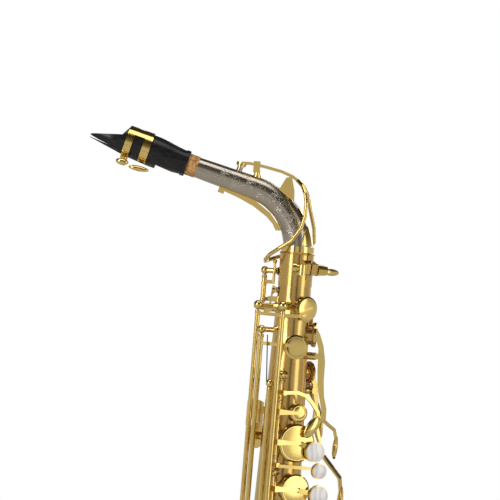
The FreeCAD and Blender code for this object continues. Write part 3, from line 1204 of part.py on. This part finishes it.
def carve_fittings(bell_form, bow_form, outer):
    """Posts stop at the walls they stand on."""
    rings = nodes["body_bow_ring"] + nodes["bell_bow_ring"]
    for node in ("body_posts", "thumb_rest"):
        cleared = []
        for solid in nodes[node]:
            shape = solid.cut(outer).cut(bow_form)
            for r in rings:
                shape = shape.cut(r)
            near_bell = shape.distToShape(bell_form)[0] < 0.5
            shape = shape.cut(bell_form) if near_bell else shape
            for other in nodes["body_tube"] + nodes["neck_receiver"] + cleared:
                if other.BoundBox.intersect(shape.BoundBox):
                    shape = shape.cut(other)
            cleared.append(max(shape.Solids, key=lambda s: s.Volume))
        nodes[node] = cleared


# ---- build and export ----
octave_work()
palm_keys()
side_keys()
upper_stack()
front_f()
lower_stack()
low_keys()
bell_form, bow_form, outer_form = tube_frame()
receiver()
strap_and_hook()
guards(bell_form, bow_form)
brace_and_springs(bell_form, outer_form)
neck_parts()
neck_octave()
mouthpiece_parts()
carve_fittings(bell_form, bow_form, outer_form)

ORIGIN = V(RING_X, RING_Y, RING_Z)
os.makedirs("parts", exist_ok=True)
for node, solids in nodes.items():
    shape = Part.makeCompound(solids) if len(solids) > 1 else solids[0].copy()
    shape.translate(V(0, 0, 0) - ORIGIN)
    shape.exportStep("parts/" + node + ".step")
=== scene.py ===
import bpy
import json
import math
from mathutils import Matrix, Vector


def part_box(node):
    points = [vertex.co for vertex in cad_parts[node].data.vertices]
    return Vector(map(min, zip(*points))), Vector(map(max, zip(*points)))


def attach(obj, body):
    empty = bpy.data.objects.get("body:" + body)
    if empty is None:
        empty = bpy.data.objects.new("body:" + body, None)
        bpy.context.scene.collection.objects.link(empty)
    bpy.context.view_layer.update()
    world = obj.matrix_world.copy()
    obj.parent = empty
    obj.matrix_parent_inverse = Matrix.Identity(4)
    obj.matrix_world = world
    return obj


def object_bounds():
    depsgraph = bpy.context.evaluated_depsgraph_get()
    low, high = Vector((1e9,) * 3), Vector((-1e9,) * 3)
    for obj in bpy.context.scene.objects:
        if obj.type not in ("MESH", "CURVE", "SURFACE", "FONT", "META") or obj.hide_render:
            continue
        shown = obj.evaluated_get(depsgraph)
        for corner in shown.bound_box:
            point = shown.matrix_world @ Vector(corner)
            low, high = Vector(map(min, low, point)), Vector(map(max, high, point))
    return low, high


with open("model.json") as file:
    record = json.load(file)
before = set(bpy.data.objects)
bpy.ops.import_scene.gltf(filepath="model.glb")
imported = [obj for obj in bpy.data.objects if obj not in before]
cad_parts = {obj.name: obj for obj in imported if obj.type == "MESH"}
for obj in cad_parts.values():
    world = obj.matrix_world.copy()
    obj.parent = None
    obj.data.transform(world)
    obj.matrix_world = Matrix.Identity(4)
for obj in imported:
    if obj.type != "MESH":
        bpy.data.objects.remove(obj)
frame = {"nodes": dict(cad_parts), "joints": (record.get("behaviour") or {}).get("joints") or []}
cad_box = [list(corner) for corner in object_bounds()]
nodes = frame["nodes"]
bpy.ops.object.select_all(action="DESELECT")

# ---- Camera ----
# A long lens level with the top of the body tube and square to the keys, tipped a
# few degrees so that the instrument leans as it would on a stand.
VIEW_WIDTH = 0.400
STAND_OFF = 3.0
LEAN = math.radians(4.7)
tube_low, tube_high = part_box("body_tube")
body_axis_x = 0.0281
body_axis_y = -0.0077
camera_data = bpy.data.cameras.new("camera")
camera_data.lens = 36.0 * STAND_OFF / VIEW_WIDTH
camera = bpy.data.objects.new("camera", camera_data)
camera.location = (body_axis_x - 0.038, body_axis_y - STAND_OFF, tube_high.z)
camera.rotation_euler = (math.pi / 2, LEAN * -1, 0)
bpy.context.scene.collection.objects.link(camera)
bpy.context.scene.camera = camera
bpy.context.scene.view_settings.view_transform = "Standard"

# ---- Studio: floor, backdrop light and soft boxes ----
# A pale matt floor under the instrument.  Large soft boxes stand left, right and
# above, and dark flags between them give the lacquer its long dark streaks.
FLOOR_DROP = 0.030
bpy.ops.mesh.primitive_plane_add(size=4.0, location=(0, 0, cad_box[0][2] - FLOOR_DROP))
floor = bpy.context.object
floor.name = "floor"
floor_paint = bpy.data.materials.new("floor_paint")
floor_paint.use_nodes = True
floor_paint.node_tree.nodes["Principled BSDF"].inputs["Base Color"].default_value = (0.9, 0.9, 0.9, 1)
floor_paint.node_tree.nodes["Principled BSDF"].inputs["Roughness"].default_value = 0.9
floor.data.materials.append(floor_paint)

world = bpy.data.worlds.new("studio")
bpy.context.scene.world = world
world.use_nodes = True
world_nodes = world.node_tree.nodes
world_links = world.node_tree.links
world_nodes.clear()
room = world_nodes.new("ShaderNodeBackground")
backdrop = world_nodes.new("ShaderNodeBackground")
backdrop.inputs["Color"].default_value = (1, 1, 1, 1)
backdrop.inputs["Strength"].default_value = 1.0
direction = world_nodes.new("ShaderNodeTexCoord")
split = world_nodes.new("ShaderNodeSeparateXYZ")
shade = world_nodes.new("ShaderNodeValToRGB")
shade.color_ramp.elements[0].position = 0.0
shade.color_ramp.elements[0].color = (0.70, 0.68, 0.64, 1)
shade.color_ramp.elements[1].position = 0.86
shade.color_ramp.elements[1].color = (0.05, 0.042, 0.034, 1)
horizon = shade.color_ramp.elements.new(0.50)
horizon.color = (0.95, 0.93, 0.90, 1)
above = shade.color_ramp.elements.new(0.64)
above.color = (0.26, 0.23, 0.19, 1)
lift = world_nodes.new("ShaderNodeMapRange")
lift.inputs["From Min"].default_value = -1.0
rays = world_nodes.new("ShaderNodeLightPath")
choose = world_nodes.new("ShaderNodeMixShader")
world_out = world_nodes.new("ShaderNodeOutputWorld")
lamp = world_nodes.new("ShaderNodeMath")
lamp.operation = "MULTIPLY_ADD"
lamp.inputs[1].default_value = 0.85
lamp.inputs[2].default_value = 0.62
world_links.new(rays.outputs["Is Diffuse Ray"], lamp.inputs[0])
world_links.new(lamp.outputs["Value"], room.inputs["Strength"])
world_links.new(direction.outputs["Generated"], split.inputs["Vector"])
world_links.new(split.outputs["Z"], lift.inputs["Value"])
world_links.new(lift.outputs["Result"], shade.inputs["Fac"])
world_links.new(shade.outputs["Color"], room.inputs["Color"])
world_links.new(rays.outputs["Is Camera Ray"], choose.inputs["Fac"])
world_links.new(room.outputs["Background"], choose.inputs[1])
world_links.new(backdrop.outputs["Background"], choose.inputs[2])
world_links.new(choose.outputs["Shader"], world_out.inputs["Surface"])


def soft_box(name, place, wide, tall, watts, aim=(0.0, 0.0, 0.15)):
    light = bpy.data.lights.new(name, "AREA")
    light.shape = "RECTANGLE"
    light.size = wide
    light.size_y = tall
    light.energy = watts
    holder = bpy.data.objects.new(name, light)
    holder.location = place
    away = Vector(place) - Vector(aim)
    holder.rotation_euler = away.to_track_quat("Z", "Y").to_euler()
    bpy.context.scene.collection.objects.link(holder)
    return holder


soft_box("key_light", (-1.3, -1.6, 0.9), 0.5, 1.6, 15)
soft_box("fill_light", (1.7, -1.1, 0.6), 0.8, 1.6, 6)
soft_box("top_light", (0.0, -0.3, 1.9), 1.6, 1.0, 10)
soft_box("rim_light", (0.9, 1.6, 0.9), 0.8, 1.4, 9)


def dark_flag(name, place, wide, tall, turn):
    bpy.ops.mesh.primitive_plane_add(size=1.0, location=place,
                                     rotation=(math.pi / 2, 0, math.radians(turn)))
    flag = bpy.context.object
    flag.name = name
    flag.scale = (wide, tall, 1)
    flag.visible_camera = False
    flag.visible_shadow = False
    flag.data.materials.append(flag_cloth)


flag_cloth = bpy.data.materials.new("flag_cloth")
flag_cloth.use_nodes = True
flag_cloth.node_tree.nodes["Principled BSDF"].inputs["Base Color"].default_value = (0.01, 0.01, 0.01, 1)
flag_cloth.node_tree.nodes["Principled BSDF"].inputs["Roughness"].default_value = 1.0
dark_flag("flag_left", (-0.75, -1.9, 0.2), 0.30, 2.4, -20)
dark_flag("flag_right", (0.55, -2.0, 0.2), 0.34, 2.4, 16)
bpy.ops.object.select_all(action="DESELECT")


# ---- Metals ----
# The tube, bow and bell are hand-finished lacquered brass, the keys polished and
# lacquered, the neck satin nickel silver, the rods turned steel.
def metal(name, colour, deep, rough, grain_scale, grain_depth, streak, coat):
    """A metal with fine finishing marks and slow changes of tone along the part."""
    finish = bpy.data.materials.new(name)
    finish.use_nodes = True
    tree = finish.node_tree
    shader = tree.nodes["Principled BSDF"]
    shader.inputs["Metallic"].default_value = 1.0
    shader.inputs["Coat Weight"].default_value = coat
    shader.inputs["Coat Roughness"].default_value = 0.06
    place = tree.nodes.new("ShaderNodeTexCoord")
    stretch = tree.nodes.new("ShaderNodeMapping")
    stretch.inputs["Scale"].default_value = streak
    tree.links.new(place.outputs["Object"], stretch.inputs["Vector"])
    grain = tree.nodes.new("ShaderNodeTexNoise")
    grain.inputs["Scale"].default_value = grain_scale
    grain.inputs["Detail"].default_value = 4.0
    tree.links.new(stretch.outputs["Vector"], grain.inputs["Vector"])
    cloud = tree.nodes.new("ShaderNodeTexNoise")
    cloud.inputs["Scale"].default_value = 38.0
    cloud.inputs["Detail"].default_value = 3.0
    tree.links.new(place.outputs["Object"], cloud.inputs["Vector"])
    tone = tree.nodes.new("ShaderNodeValToRGB")
    tone.color_ramp.elements[0].position = 0.32
    tone.color_ramp.elements[0].color = (*deep, 1)
    tone.color_ramp.elements[1].position = 0.66
    tone.color_ramp.elements[1].color = (*colour, 1)
    tree.links.new(cloud.outputs["Fac"], tone.inputs["Fac"])
    tree.links.new(tone.outputs["Color"], shader.inputs["Base Color"])
    polish = tree.nodes.new("ShaderNodeMapRange")
    polish.inputs["To Min"].default_value = rough * 0.75
    polish.inputs["To Max"].default_value = rough * 1.3
    tree.links.new(grain.outputs["Fac"], polish.inputs["Value"])
    tree.links.new(polish.outputs["Result"], shader.inputs["Roughness"])
    marks = tree.nodes.new("ShaderNodeBump")
    marks.inputs["Strength"].default_value = grain_depth
    marks.inputs["Distance"].default_value = 0.0002
    tree.links.new(grain.outputs["Fac"], marks.inputs["Height"])
    tree.links.new(marks.outputs["Normal"], shader.inputs["Normal"])
    return finish


body_lacquer = metal("body_lacquer", (0.69, 0.47, 0.145), (0.65, 0.42, 0.12), 0.22, 900.0, 0.05,
                     (1.0, 1.0, 0.08), 0.35)
key_lacquer = metal("key_lacquer", (0.86, 0.65, 0.21), (0.80, 0.57, 0.16), 0.14, 500.0, 0.03,
                    (1.0, 1.0, 1.0), 0.5)
neck_silver = metal("neck_silver", (0.50, 0.45, 0.365), (0.45, 0.40, 0.32), 0.25, 700.0, 0.05,
                    (0.12, 1.0, 1.0), 0.2)
bright_cut = metal("bright_cut", (0.82, 0.78, 0.70), (0.74, 0.70, 0.62), 0.16, 900.0, 0.04,
                   (1.0, 1.0, 1.0), 0.2)
rod_steel = metal("rod_steel", (0.66, 0.64, 0.60), (0.55, 0.53, 0.50), 0.2, 900.0, 0.05,
                  (1.0, 1.0, 8.0), 0.0)
blued_steel = metal("blued_steel", (0.05, 0.07, 0.16), (0.03, 0.04, 0.10), 0.3, 900.0, 0.05,
                    (1.0, 1.0, 1.0), 0.0)
BODY_NODES = ("body_tube", "bow", "bell", "neck_receiver", "bell_rim", "bow_guard")
for name, node in nodes.items():
    finish = key_lacquer
    if name in BODY_NODES:
        finish = body_lacquer
    elif name == "neck_tube":
        finish = neck_silver
    elif name == "hinge_rods":
        finish = rod_steel
    elif name == "needle_springs":
        finish = blued_steel
    node.data.materials.clear()
    node.data.materials.append(finish)

# ---- Mouthpiece, reed, cork and felts ----
# The mouthpiece is turned and polished ebonite, the reed a near-black blade, the
# cork a glued and sanded sheet, and the guards' stops are pressed wool felt.
def soft_finish(name, low, high, spots, spot_depth, rough, coat, stretch=(1.0, 1.0, 1.0),
                gloss=0.5):
    """A finish that is not metal: two tones mixed by noise, with small pits in it."""
    finish = bpy.data.materials.new(name)
    finish.use_nodes = True
    tree = finish.node_tree
    shader = tree.nodes["Principled BSDF"]
    shader.inputs["Coat Weight"].default_value = coat
    shader.inputs["Coat Roughness"].default_value = 0.12
    shader.inputs["Specular IOR Level"].default_value = gloss
    place = tree.nodes.new("ShaderNodeTexCoord")
    drawn = tree.nodes.new("ShaderNodeMapping")
    drawn.inputs["Scale"].default_value = stretch
    tree.links.new(place.outputs["Object"], drawn.inputs["Vector"])
    mix = tree.nodes.new("ShaderNodeTexNoise")
    mix.inputs["Scale"].default_value = spots
    mix.inputs["Detail"].default_value = 6.0
    tree.links.new(drawn.outputs["Vector"], mix.inputs["Vector"])
    tone = tree.nodes.new("ShaderNodeValToRGB")
    tone.color_ramp.elements[0].position = 0.36
    tone.color_ramp.elements[0].color = (*low, 1)
    tone.color_ramp.elements[1].position = 0.58
    tone.color_ramp.elements[1].color = (*high, 1)
    tree.links.new(mix.outputs["Fac"], tone.inputs["Fac"])
    tree.links.new(tone.outputs["Color"], shader.inputs["Base Color"])
    matt = tree.nodes.new("ShaderNodeMapRange")
    matt.inputs["To Min"].default_value = rough * 0.85
    matt.inputs["To Max"].default_value = rough * 1.15
    tree.links.new(mix.outputs["Fac"], matt.inputs["Value"])
    tree.links.new(matt.outputs["Result"], shader.inputs["Roughness"])
    pits = tree.nodes.new("ShaderNodeBump")
    pits.inputs["Strength"].default_value = spot_depth
    pits.inputs["Distance"].default_value = 0.0002
    tree.links.new(mix.outputs["Fac"], pits.inputs["Height"])
    tree.links.new(pits.outputs["Normal"], shader.inputs["Normal"])
    return finish


ebonite = soft_finish("ebonite", (0.008, 0.008, 0.009), (0.016, 0.015, 0.015), 500.0, 0.03, 0.26, 0.05,
                      (0.3, 1.0, 1.0), 0.28)
reed_blade = soft_finish("reed_blade", (0.012, 0.011, 0.010), (0.040, 0.036, 0.032), 260.0, 0.2, 0.42, 0.0,
                         (0.15, 2.0, 1.0), 0.3)
cork_sheet = soft_finish("cork_sheet", (0.26, 0.12, 0.035), (0.62, 0.34, 0.11), 420.0, 0.6, 0.75, 0.0)
wool_felt = soft_finish("wool_felt", (0.16, 0.030, 0.020), (0.30, 0.060, 0.035), 900.0, 0.8, 0.95, 0.0)
for name, finish in (("mouthpiece", ebonite), ("reed", reed_blade), ("neck_cork", cork_sheet),
                     ("guard_felts", wool_felt)):
    nodes[name].data.materials.clear()
    nodes[name].data.materials.append(finish)

# ---- Neck engraving ----
# Leaf scrolls cut by hand into both sides of the neck: a wandering stem, curls in
# its hollows and small veined leaves, all bright where the graver went.
MM = 0.001
NECK_BEND_R = 51.5
NECK_BEND = math.radians(75.0)
NECK_ARC = NECK_BEND_R * NECK_BEND
NECK_SIZES = ((0, 11.8), (33, 10.2), (67, 9.2), (116.4, 8.2))
neck_foot = Vector((28.1, -7.7, 215.0))


def on_neck(along, around, side):
    """A point on the neck's skin: distance along it, and mm round from its side."""
    turn = min(along / NECK_BEND_R, NECK_BEND)
    centre = Vector((NECK_BEND_R * (math.cos(turn) - 1), 0, NECK_BEND_R * math.sin(turn)))
    centre += Vector((-math.sin(turn), 0, math.cos(turn))) * max(0.0, along - NECK_ARC)
    radius = 8.2
    for (a, ra), (b, rb) in zip(NECK_SIZES, NECK_SIZES[1:]):
        if a <= along <= b:
            radius = ra + (rb - ra) * (along - a) / (b - a)
    angle = around / radius
    lift = Vector((math.cos(turn), 0, math.sin(turn))) * math.sin(angle)
    out = Vector((0, side, 0)) * math.cos(angle)
    return (neck_foot + centre + (lift + out) * (radius + 0.03)) * MM


def leaf(root, heading, length, bend):
    """Both edges and the vein of a pointed leaf, in the neck's flat measure."""
    strokes = []
    for swell in (-0.26, 0.0, 0.26):
        stroke = []
        for i in range(9):
            t = i / 8
            x = length * t
            y = swell * length * math.sin(math.pi * t) ** 0.8 + bend * t * t
            stroke.append((root[0] + x * math.cos(heading) - y * math.sin(heading),
                           root[1] + x * math.sin(heading) + y * math.cos(heading)))
        strokes.append(stroke)
    return strokes


strokes = [[(14 + 0.9 * i, 3.4 * math.sin((14 + 0.9 * i) * 0.29)) for i in range(99)]]
for k in range(8):
    middle = 18.5 + 10.83 * k
    hand = 1 if math.sin(middle * 0.29) > 0 else -1
    curl = []
    for i in range(30):
        t = i / 29
        size = 3.9 * (1 - 0.80 * t)
        angle = -hand * math.pi / 2 + hand * t * 3.4 * math.pi
        curl.append((middle + size * math.cos(angle), -hand * 1.2 + size * math.sin(angle)))
    strokes.append(curl)
    for turn, length, bend in ((0.5, 6.0, 1.4), (1.15, 4.6, -1.0), (2.3, 5.2, 1.2), (-0.4, 3.8, 0.8)):
        strokes += leaf((middle - 1.0, hand * 2.6), hand * turn, length, bend * hand)
for side, label in ((-1, "right"), (1, "left")):
    curve = bpy.data.curves.new(f"engraving_{label}", "CURVE")
    curve.dimensions = "3D"
    curve.bevel_depth = 0.00013
    curve.bevel_resolution = 0
    curve.use_fill_caps = True
    for stroke in strokes:
        cut = curve.splines.new("POLY")
        cut.points.add(len(stroke) - 1)
        for point, (along, around) in zip(cut.points, stroke):
            point.co = (*on_neck(along, around, side), 1)
    engraving = bpy.data.objects.new(f"engraving_{label}", curve)
    bpy.context.scene.collection.objects.link(engraving)
    bpy.ops.object.select_all(action="DESELECT")
    engraving.select_set(True)
    bpy.context.view_layer.objects.active = engraving
    bpy.ops.object.convert(target="MESH")
    engraving.data.materials.append(bright_cut)
    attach(engraving, "neck")

# ---- Pads ----
# Each cup holds a felt disc in tan leather, pressed round its edge and held by a
# domed metal resonator.  The pad bulges a little out of the cup over the tone hole.
TUBE_TOP_R = 12.5
TUBE_TAPER = 0.029
RIM_HEIGHT = 2.4
SEAT_GAP = 0.2
CUP_HEIGHT = 4.0
PAD_THICK = 3.0
BELL_TURN = math.radians(-15.0)
BELL_SPACING = 96.0
axis_at = Vector((28.1, -7.7, 215.0))
hinges = {j["child"]: j for j in frame["joints"]}
TUBE_PADS = (
    ("high_f_sharp_key", -43.0, -55, 9.8), ("high_e_key", -74.0, -76, 9.8),
    ("palm_f_key", -54.0, 62, 9.2), ("palm_eb_key", -63.5, 0, 10.0),
    ("palm_d_key", -94.0, 33, 9.0), ("c_vent_key", -126.0, -60, 7.2),
    ("b_key", -150.0, -60, 15.3), ("a_key", -187.0, -57, 12.6), ("g_key", -218.0, -60, 13.4),
    ("side_c_key", -247.0, -72, 9.0), ("side_bb_key", -264.2, -75, 7.4),
    ("g_sharp_key", -268.0, 80, 8.5), ("f_sharp_vent_key", -289.0, -60, 11.6),
    ("f_key", -317.0, -60, 13.6), ("e_key", -350.0, -60, 14.0), ("d_key", -383.0, -60, 15.0),
    ("low_c_sharp_key", -398.0, 75, 15.5), ("low_eb_key", -425.0, -60, 13.6))
BELL_PADS = (
    ("low_b_key", BELL_SPACING, -325.0, 46.4, 1, 18.4),
    ("low_bb_key", BELL_SPACING, -385.0, 39.4, 1, 19.6),
    ("low_c_key", BELL_SPACING / 2, -510.0, 31.0, -1, 18.0))
OPEN_KEYS = ("c_vent_key", "b_key", "bis_key", "a_key", "g_key", "f_sharp_vent_key", "f_key",
             "e_key", "d_key", "low_b_key", "low_bb_key", "low_c_key")


def tube_radius(height):
    return TUBE_TOP_R - TUBE_TAPER * height


def from_seat(key, place):
    """Carries a point or direction from a key's closed place to where it rests."""
    turn = Matrix.Identity(4)
    if key in OPEN_KEYS:
        hinge = hinges[key]
        low, high = hinge["range_deg"]
        travel = high if abs(high) > abs(low) else low
        pivot = Vector(hinge["pos_m"]) / MM
        turn = Matrix.Translation(pivot) @ Matrix.Rotation(
            math.radians(-travel), 4, Vector(hinge["axis"])) @ Matrix.Translation(-pivot)
    return turn @ place if place.length > 1.5 else (turn.to_3x3() @ place)


def lathe(name, outline, middle, axis, steps=48):
    """Spins an outline of (radius, height) points in mm into a closed form."""
    bpy.ops.object.select_all(action="DESELECT")
    mesh = bpy.data.meshes.new(name)
    points = [(r * MM, 0, h * MM) for r, h in outline]
    mesh.from_pydata(points, [(i, i + 1) for i in range(len(points) - 1)], [])
    piece = bpy.data.objects.new(name, mesh)
    bpy.context.scene.collection.objects.link(piece)
    piece.select_set(True)
    bpy.context.view_layer.objects.active = piece
    bpy.ops.object.mode_set(mode="EDIT")
    bpy.ops.mesh.select_all(action="SELECT")
    bpy.ops.mesh.spin(steps=steps, angle=math.tau, center=(0, 0, 0), axis=(0, 0, 1))
    bpy.ops.mesh.select_all(action="SELECT")
    bpy.ops.mesh.remove_doubles(threshold=0.000002)
    bpy.ops.mesh.normals_make_consistent(inside=False)
    bpy.ops.object.mode_set(mode="OBJECT")
    turn = axis.to_track_quat("Z", "Y").to_matrix().to_4x4()
    turn.translation = middle * MM
    mesh.transform(turn)
    bpy.ops.object.shade_smooth_by_angle(angle=math.radians(40))
    return piece


pad_leather = bpy.data.materials.new("pad_leather")
pad_leather.use_nodes = True
tree = pad_leather.node_tree
shader = tree.nodes["Principled BSDF"]
shader.inputs["Roughness"].default_value = 0.55
shader.inputs["Sheen Weight"].default_value = 0.2
place = tree.nodes.new("ShaderNodeTexCoord")
pores = tree.nodes.new("ShaderNodeTexVoronoi")
pores.inputs["Scale"].default_value = 1400.0
tree.links.new(place.outputs["Object"], pores.inputs["Vector"])
hide = tree.nodes.new("ShaderNodeTexNoise")
hide.inputs["Scale"].default_value = 220.0
hide.inputs["Detail"].default_value = 5.0
tree.links.new(place.outputs["Object"], hide.inputs["Vector"])
tan = tree.nodes.new("ShaderNodeValToRGB")
tan.color_ramp.elements[0].color = (0.30, 0.09, 0.025, 1)
tan.color_ramp.elements[1].color = (0.58, 0.22, 0.06, 1)
tree.links.new(hide.outputs["Fac"], tan.inputs["Fac"])
tree.links.new(tan.outputs["Color"], shader.inputs["Base Color"])
grain = tree.nodes.new("ShaderNodeBump")
grain.inputs["Strength"].default_value = 0.35
grain.inputs["Distance"].default_value = 0.0002
tree.links.new(pores.outputs["Distance"], grain.inputs["Height"])
tree.links.new(grain.outputs["Normal"], shader.inputs["Normal"])


def fit_pad(key, seat, outward, cup_radius):
    """A leather pad and its resonator under one cup; seat is the rim's centre."""
    r = cup_radius - 0.7
    groove = r * 0.82
    outline = [(0, 0.10), (groove, 0.10), (groove + 0.3, 0.26), (groove + 0.6, 0.10),
               (r - 0.5, 0.10), (r + 0.15, 0.40), (r + 0.30, 0.80), (r + 0.18, 1.25),
               (r + 0.05, 1.45), (r + 0.05, PAD_THICK - 0.1), (0, PAD_THICK - 0.1)]
    middle = from_seat(key, seat)
    axis = from_seat(key, outward)
    pad = lathe(f"pad_{key}", outline, middle, axis)
    pad.data.materials.append(pad_leather)
    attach(pad, key)
    dome = r * 0.32
    cap = [(0, 0.02), (dome * 0.6, 0.03), (dome, 0.09), (dome + 0.1, 0.3), (0, 0.3)]
    resonator = lathe(f"resonator_{key}", cap, middle, axis, 32)
    resonator.data.materials.append(key_lacquer)
    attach(resonator, key)


def dress_cup(key, seat, outward, cup_radius):
    """The cup's turned crown: a soft dome on top of the cup."""
    r = cup_radius
    outline = [(0, CUP_HEIGHT - 0.3), (0, CUP_HEIGHT + 0.34), (r * 0.40, CUP_HEIGHT + 0.31),
               (r * 0.70, CUP_HEIGHT + 0.20), (r - 1.9, CUP_HEIGHT + 0.06),
               (r - 1.7, CUP_HEIGHT - 0.3)]
    middle = from_seat(key, seat)
    axis = from_seat(key, outward)
    crown = lathe(f"crown_{key}", outline, middle, axis, 64)
    crown.data.materials.append(key_lacquer)
    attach(crown, key)


seats = []
for key, height, turn, cup_radius in TUBE_PADS:
    angle = math.radians(turn)
    outward = Vector((math.cos(angle), math.sin(angle), 0))
    seat = axis_at + outward * (tube_radius(height) + RIM_HEIGHT) + Vector((0, 0, height))
    seats.append((key, seat, outward, cup_radius))
toward_bell = Vector((math.cos(BELL_TURN), math.sin(BELL_TURN), 0))
to_left = Vector((-math.sin(BELL_TURN), math.cos(BELL_TURN), 0))
for key, along, height, reach, side, cup_radius in BELL_PADS:
    seat = axis_at + toward_bell * along + to_left * side * reach + Vector((0, 0, height))
    seats.append((key, seat, to_left * side, cup_radius))
for key, seat, outward, cup_radius in seats:
    fit_pad(key, seat, outward, cup_radius)
    dress_cup(key, seat, outward, cup_radius)

# ---- Pearl touches ----
# Finger buttons of mother-of-pearl, slightly domed and set in brass rings.
pearl = bpy.data.materials.new("mother_of_pearl")
pearl.use_nodes = True
tree = pearl.node_tree
shader = tree.nodes["Principled BSDF"]
shader.inputs["Roughness"].default_value = 0.16
shader.inputs["Coat Weight"].default_value = 1.0
shader.inputs["Coat Roughness"].default_value = 0.05
place = tree.nodes.new("ShaderNodeTexCoord")
layers = tree.nodes.new("ShaderNodeTexWave")
layers.inputs["Scale"].default_value = 60.0
layers.inputs["Distortion"].default_value = 8.0
layers.inputs["Detail"].default_value = 3.0
tree.links.new(place.outputs["Object"], layers.inputs["Vector"])
lustre = tree.nodes.new("ShaderNodeValToRGB")
lustre.color_ramp.elements[0].color = (0.74, 0.77, 0.78, 1)
lustre.color_ramp.elements[1].color = (0.95, 0.94, 0.92, 1)
blush = lustre.color_ramp.elements.new(0.5)
blush.color = (0.90, 0.85, 0.87, 1)
tree.links.new(layers.outputs["Fac"], lustre.inputs["Fac"])
tree.links.new(lustre.outputs["Color"], shader.inputs["Base Color"])
# key, turn, height, sideways, radius, height of the cup it goes with, stand-off
PEARLS = (("b_key", -60, -156.0, 14.0, 8.2, -150.0, 6.0), ("bis_key", -60, -171.0, 19.0, 6.4, -150.0, 6.6),
          ("a_key", -57, -190.5, 18.5, 8.2, -187.0, 6.0), ("g_key", -60, -221.0, 19.0, 8.2, -218.0, 6.0),
          ("f_key", -60, -322.0, 17.0, 8.4, -317.0, 6.0), ("e_key", -60, -350.0, 17.0, 8.4, -350.0, 6.0),
          ("d_key", -60, -377.0, 17.0, 8.4, -383.0, 6.0))
for key, turn, height, sideways, radius, cup_height, stand_off in PEARLS:
    angle = math.radians(turn)
    outward = Vector((math.cos(angle), math.sin(angle), 0))
    across = Vector((-math.sin(angle), math.cos(angle), 0))
    reach = tube_radius(cup_height) + RIM_HEIGHT + SEAT_GAP + 3.8 + stand_off
    top = axis_at + outward * reach + across * sideways + Vector((0, 0, height))
    r = radius - 0.6
    outline = [(0, -1.5), (0, 0.55), (r * 0.45, 0.50), (r * 0.8, 0.32), (r * 0.96, 0.14),
               (r + 0.04, 0.03), (r + 0.04, -1.5)]
    button = lathe(f"pearl_{key}", outline, from_seat(key, top), from_seat(key, outward))
    button.data.materials.append(pearl)
    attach(button, key)

# ---- Turned collars on the hinge tubes ----
# Each hinge tube ends in a slightly thicker turned collar, silver soldered on and
# faced square so that it runs true against its post.
# key, top and foot of its hinge tube below the top of the body
HINGE_TUBES = (
    ("high_f_sharp_key", -47.2, -380.2), ("high_e_key", -65.6, -261.2),
    ("side_c_key", -46.4, -258.2), ("side_bb_key", -107.6, -313.2),
    ("front_f_lever", -101.0, -116.5), ("c_vent_key", -117.0, -130.5),
    ("b_key", -131.0, -163.0), ("g_key", -201.5, -233.0),
    ("f_sharp_vent_key", -279.0, -301.0), ("f_key", -301.5, -333.0),
    ("e_key", -341.0, -365.0), ("d_key", -365.5, -399.0), ("low_eb_key", -407.0, -442.0),
    ("thumb_octave_lever", -43.6, -164.4), ("octave_link", -18.6, -40.4),
    ("g_sharp_key", -236.6, -277.4), ("low_c_sharp_key", -243.6, -410.4),
    ("low_b_key", -229.6, -345.4), ("low_bb_key", -257.0, -405.4),
    ("low_c_key", -458.6, -494.4))
for key, top, foot in HINGE_TUBES:
    line = Vector(hinges[key]["pos_m"]) / MM
    for label, height, inward in (("top", top, -1), ("foot", foot, 1)):
        collar_foot = height - 2.4 if inward < 0 else height
        outline = [(1.5, 0.02), (2.22, 0.02), (2.36, 0.22), (2.36, 0.9), (2.10, 1.1),
                   (2.10, 1.4), (2.28, 1.6), (2.28, 2.1), (2.12, 2.38), (1.5, 2.38), (1.5, 0.02)]
        collar = lathe(f"collar_{label}_{key}", outline,
                       Vector((line.x, line.y, axis_at.z + collar_foot)), Vector((0, 0, 1)), 28)
        collar.data.materials.append(key_lacquer)
        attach(collar, key)

# ---- Palm touches ----
# The palm keys end in plump cast spoons, rounded to sit under the left palm and
# brazed over the flat ends of their levers.
# key, upper and lower end of the spoon from the top of the body, half width, half depth
SPOONS = (
    ("palm_eb_key", (43.3, 1.4, -141.5), (42.3, 2.1, -161.5), 4.3, 2.5),
    ("palm_d_key", (50.9, 12.0, -182.0), (50.0, 12.0, -208.5), 4.3, 2.8),
    ("palm_f_key", (28.6, 30.6, -123.5), (29.6, 29.9, -147.5), 4.3, 2.5))
for key, upper, lower, half_width, half_depth in SPOONS:
    upper = Vector(upper)
    lower = Vector(lower)
    length = (upper - lower).length
    outline = []
    for i in range(17):
        t = i / 16
        swell = math.sin(math.pi * t) ** 0.55 * (1.0 - 0.18 * t)
        outline.append((swell, -length / 2 + length * t))
    spoon = lathe(f"spoon_{key}", outline, Vector((0, 0, 0)), Vector((0, 0, 1)), 40)
    down = (upper - lower).normalized()
    out = Vector((upper.x, upper.y, 0))
    out = (out - down * out.dot(down)).normalized()
    across = down.cross(out)
    shape = Matrix((out * half_depth, across * half_width, down)).transposed().to_4x4()
    shape.translation = (axis_at + (upper + lower) / 2) * MM
    spoon.data.transform(shape)
    spoon.data.materials.append(key_lacquer)
    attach(spoon, key)
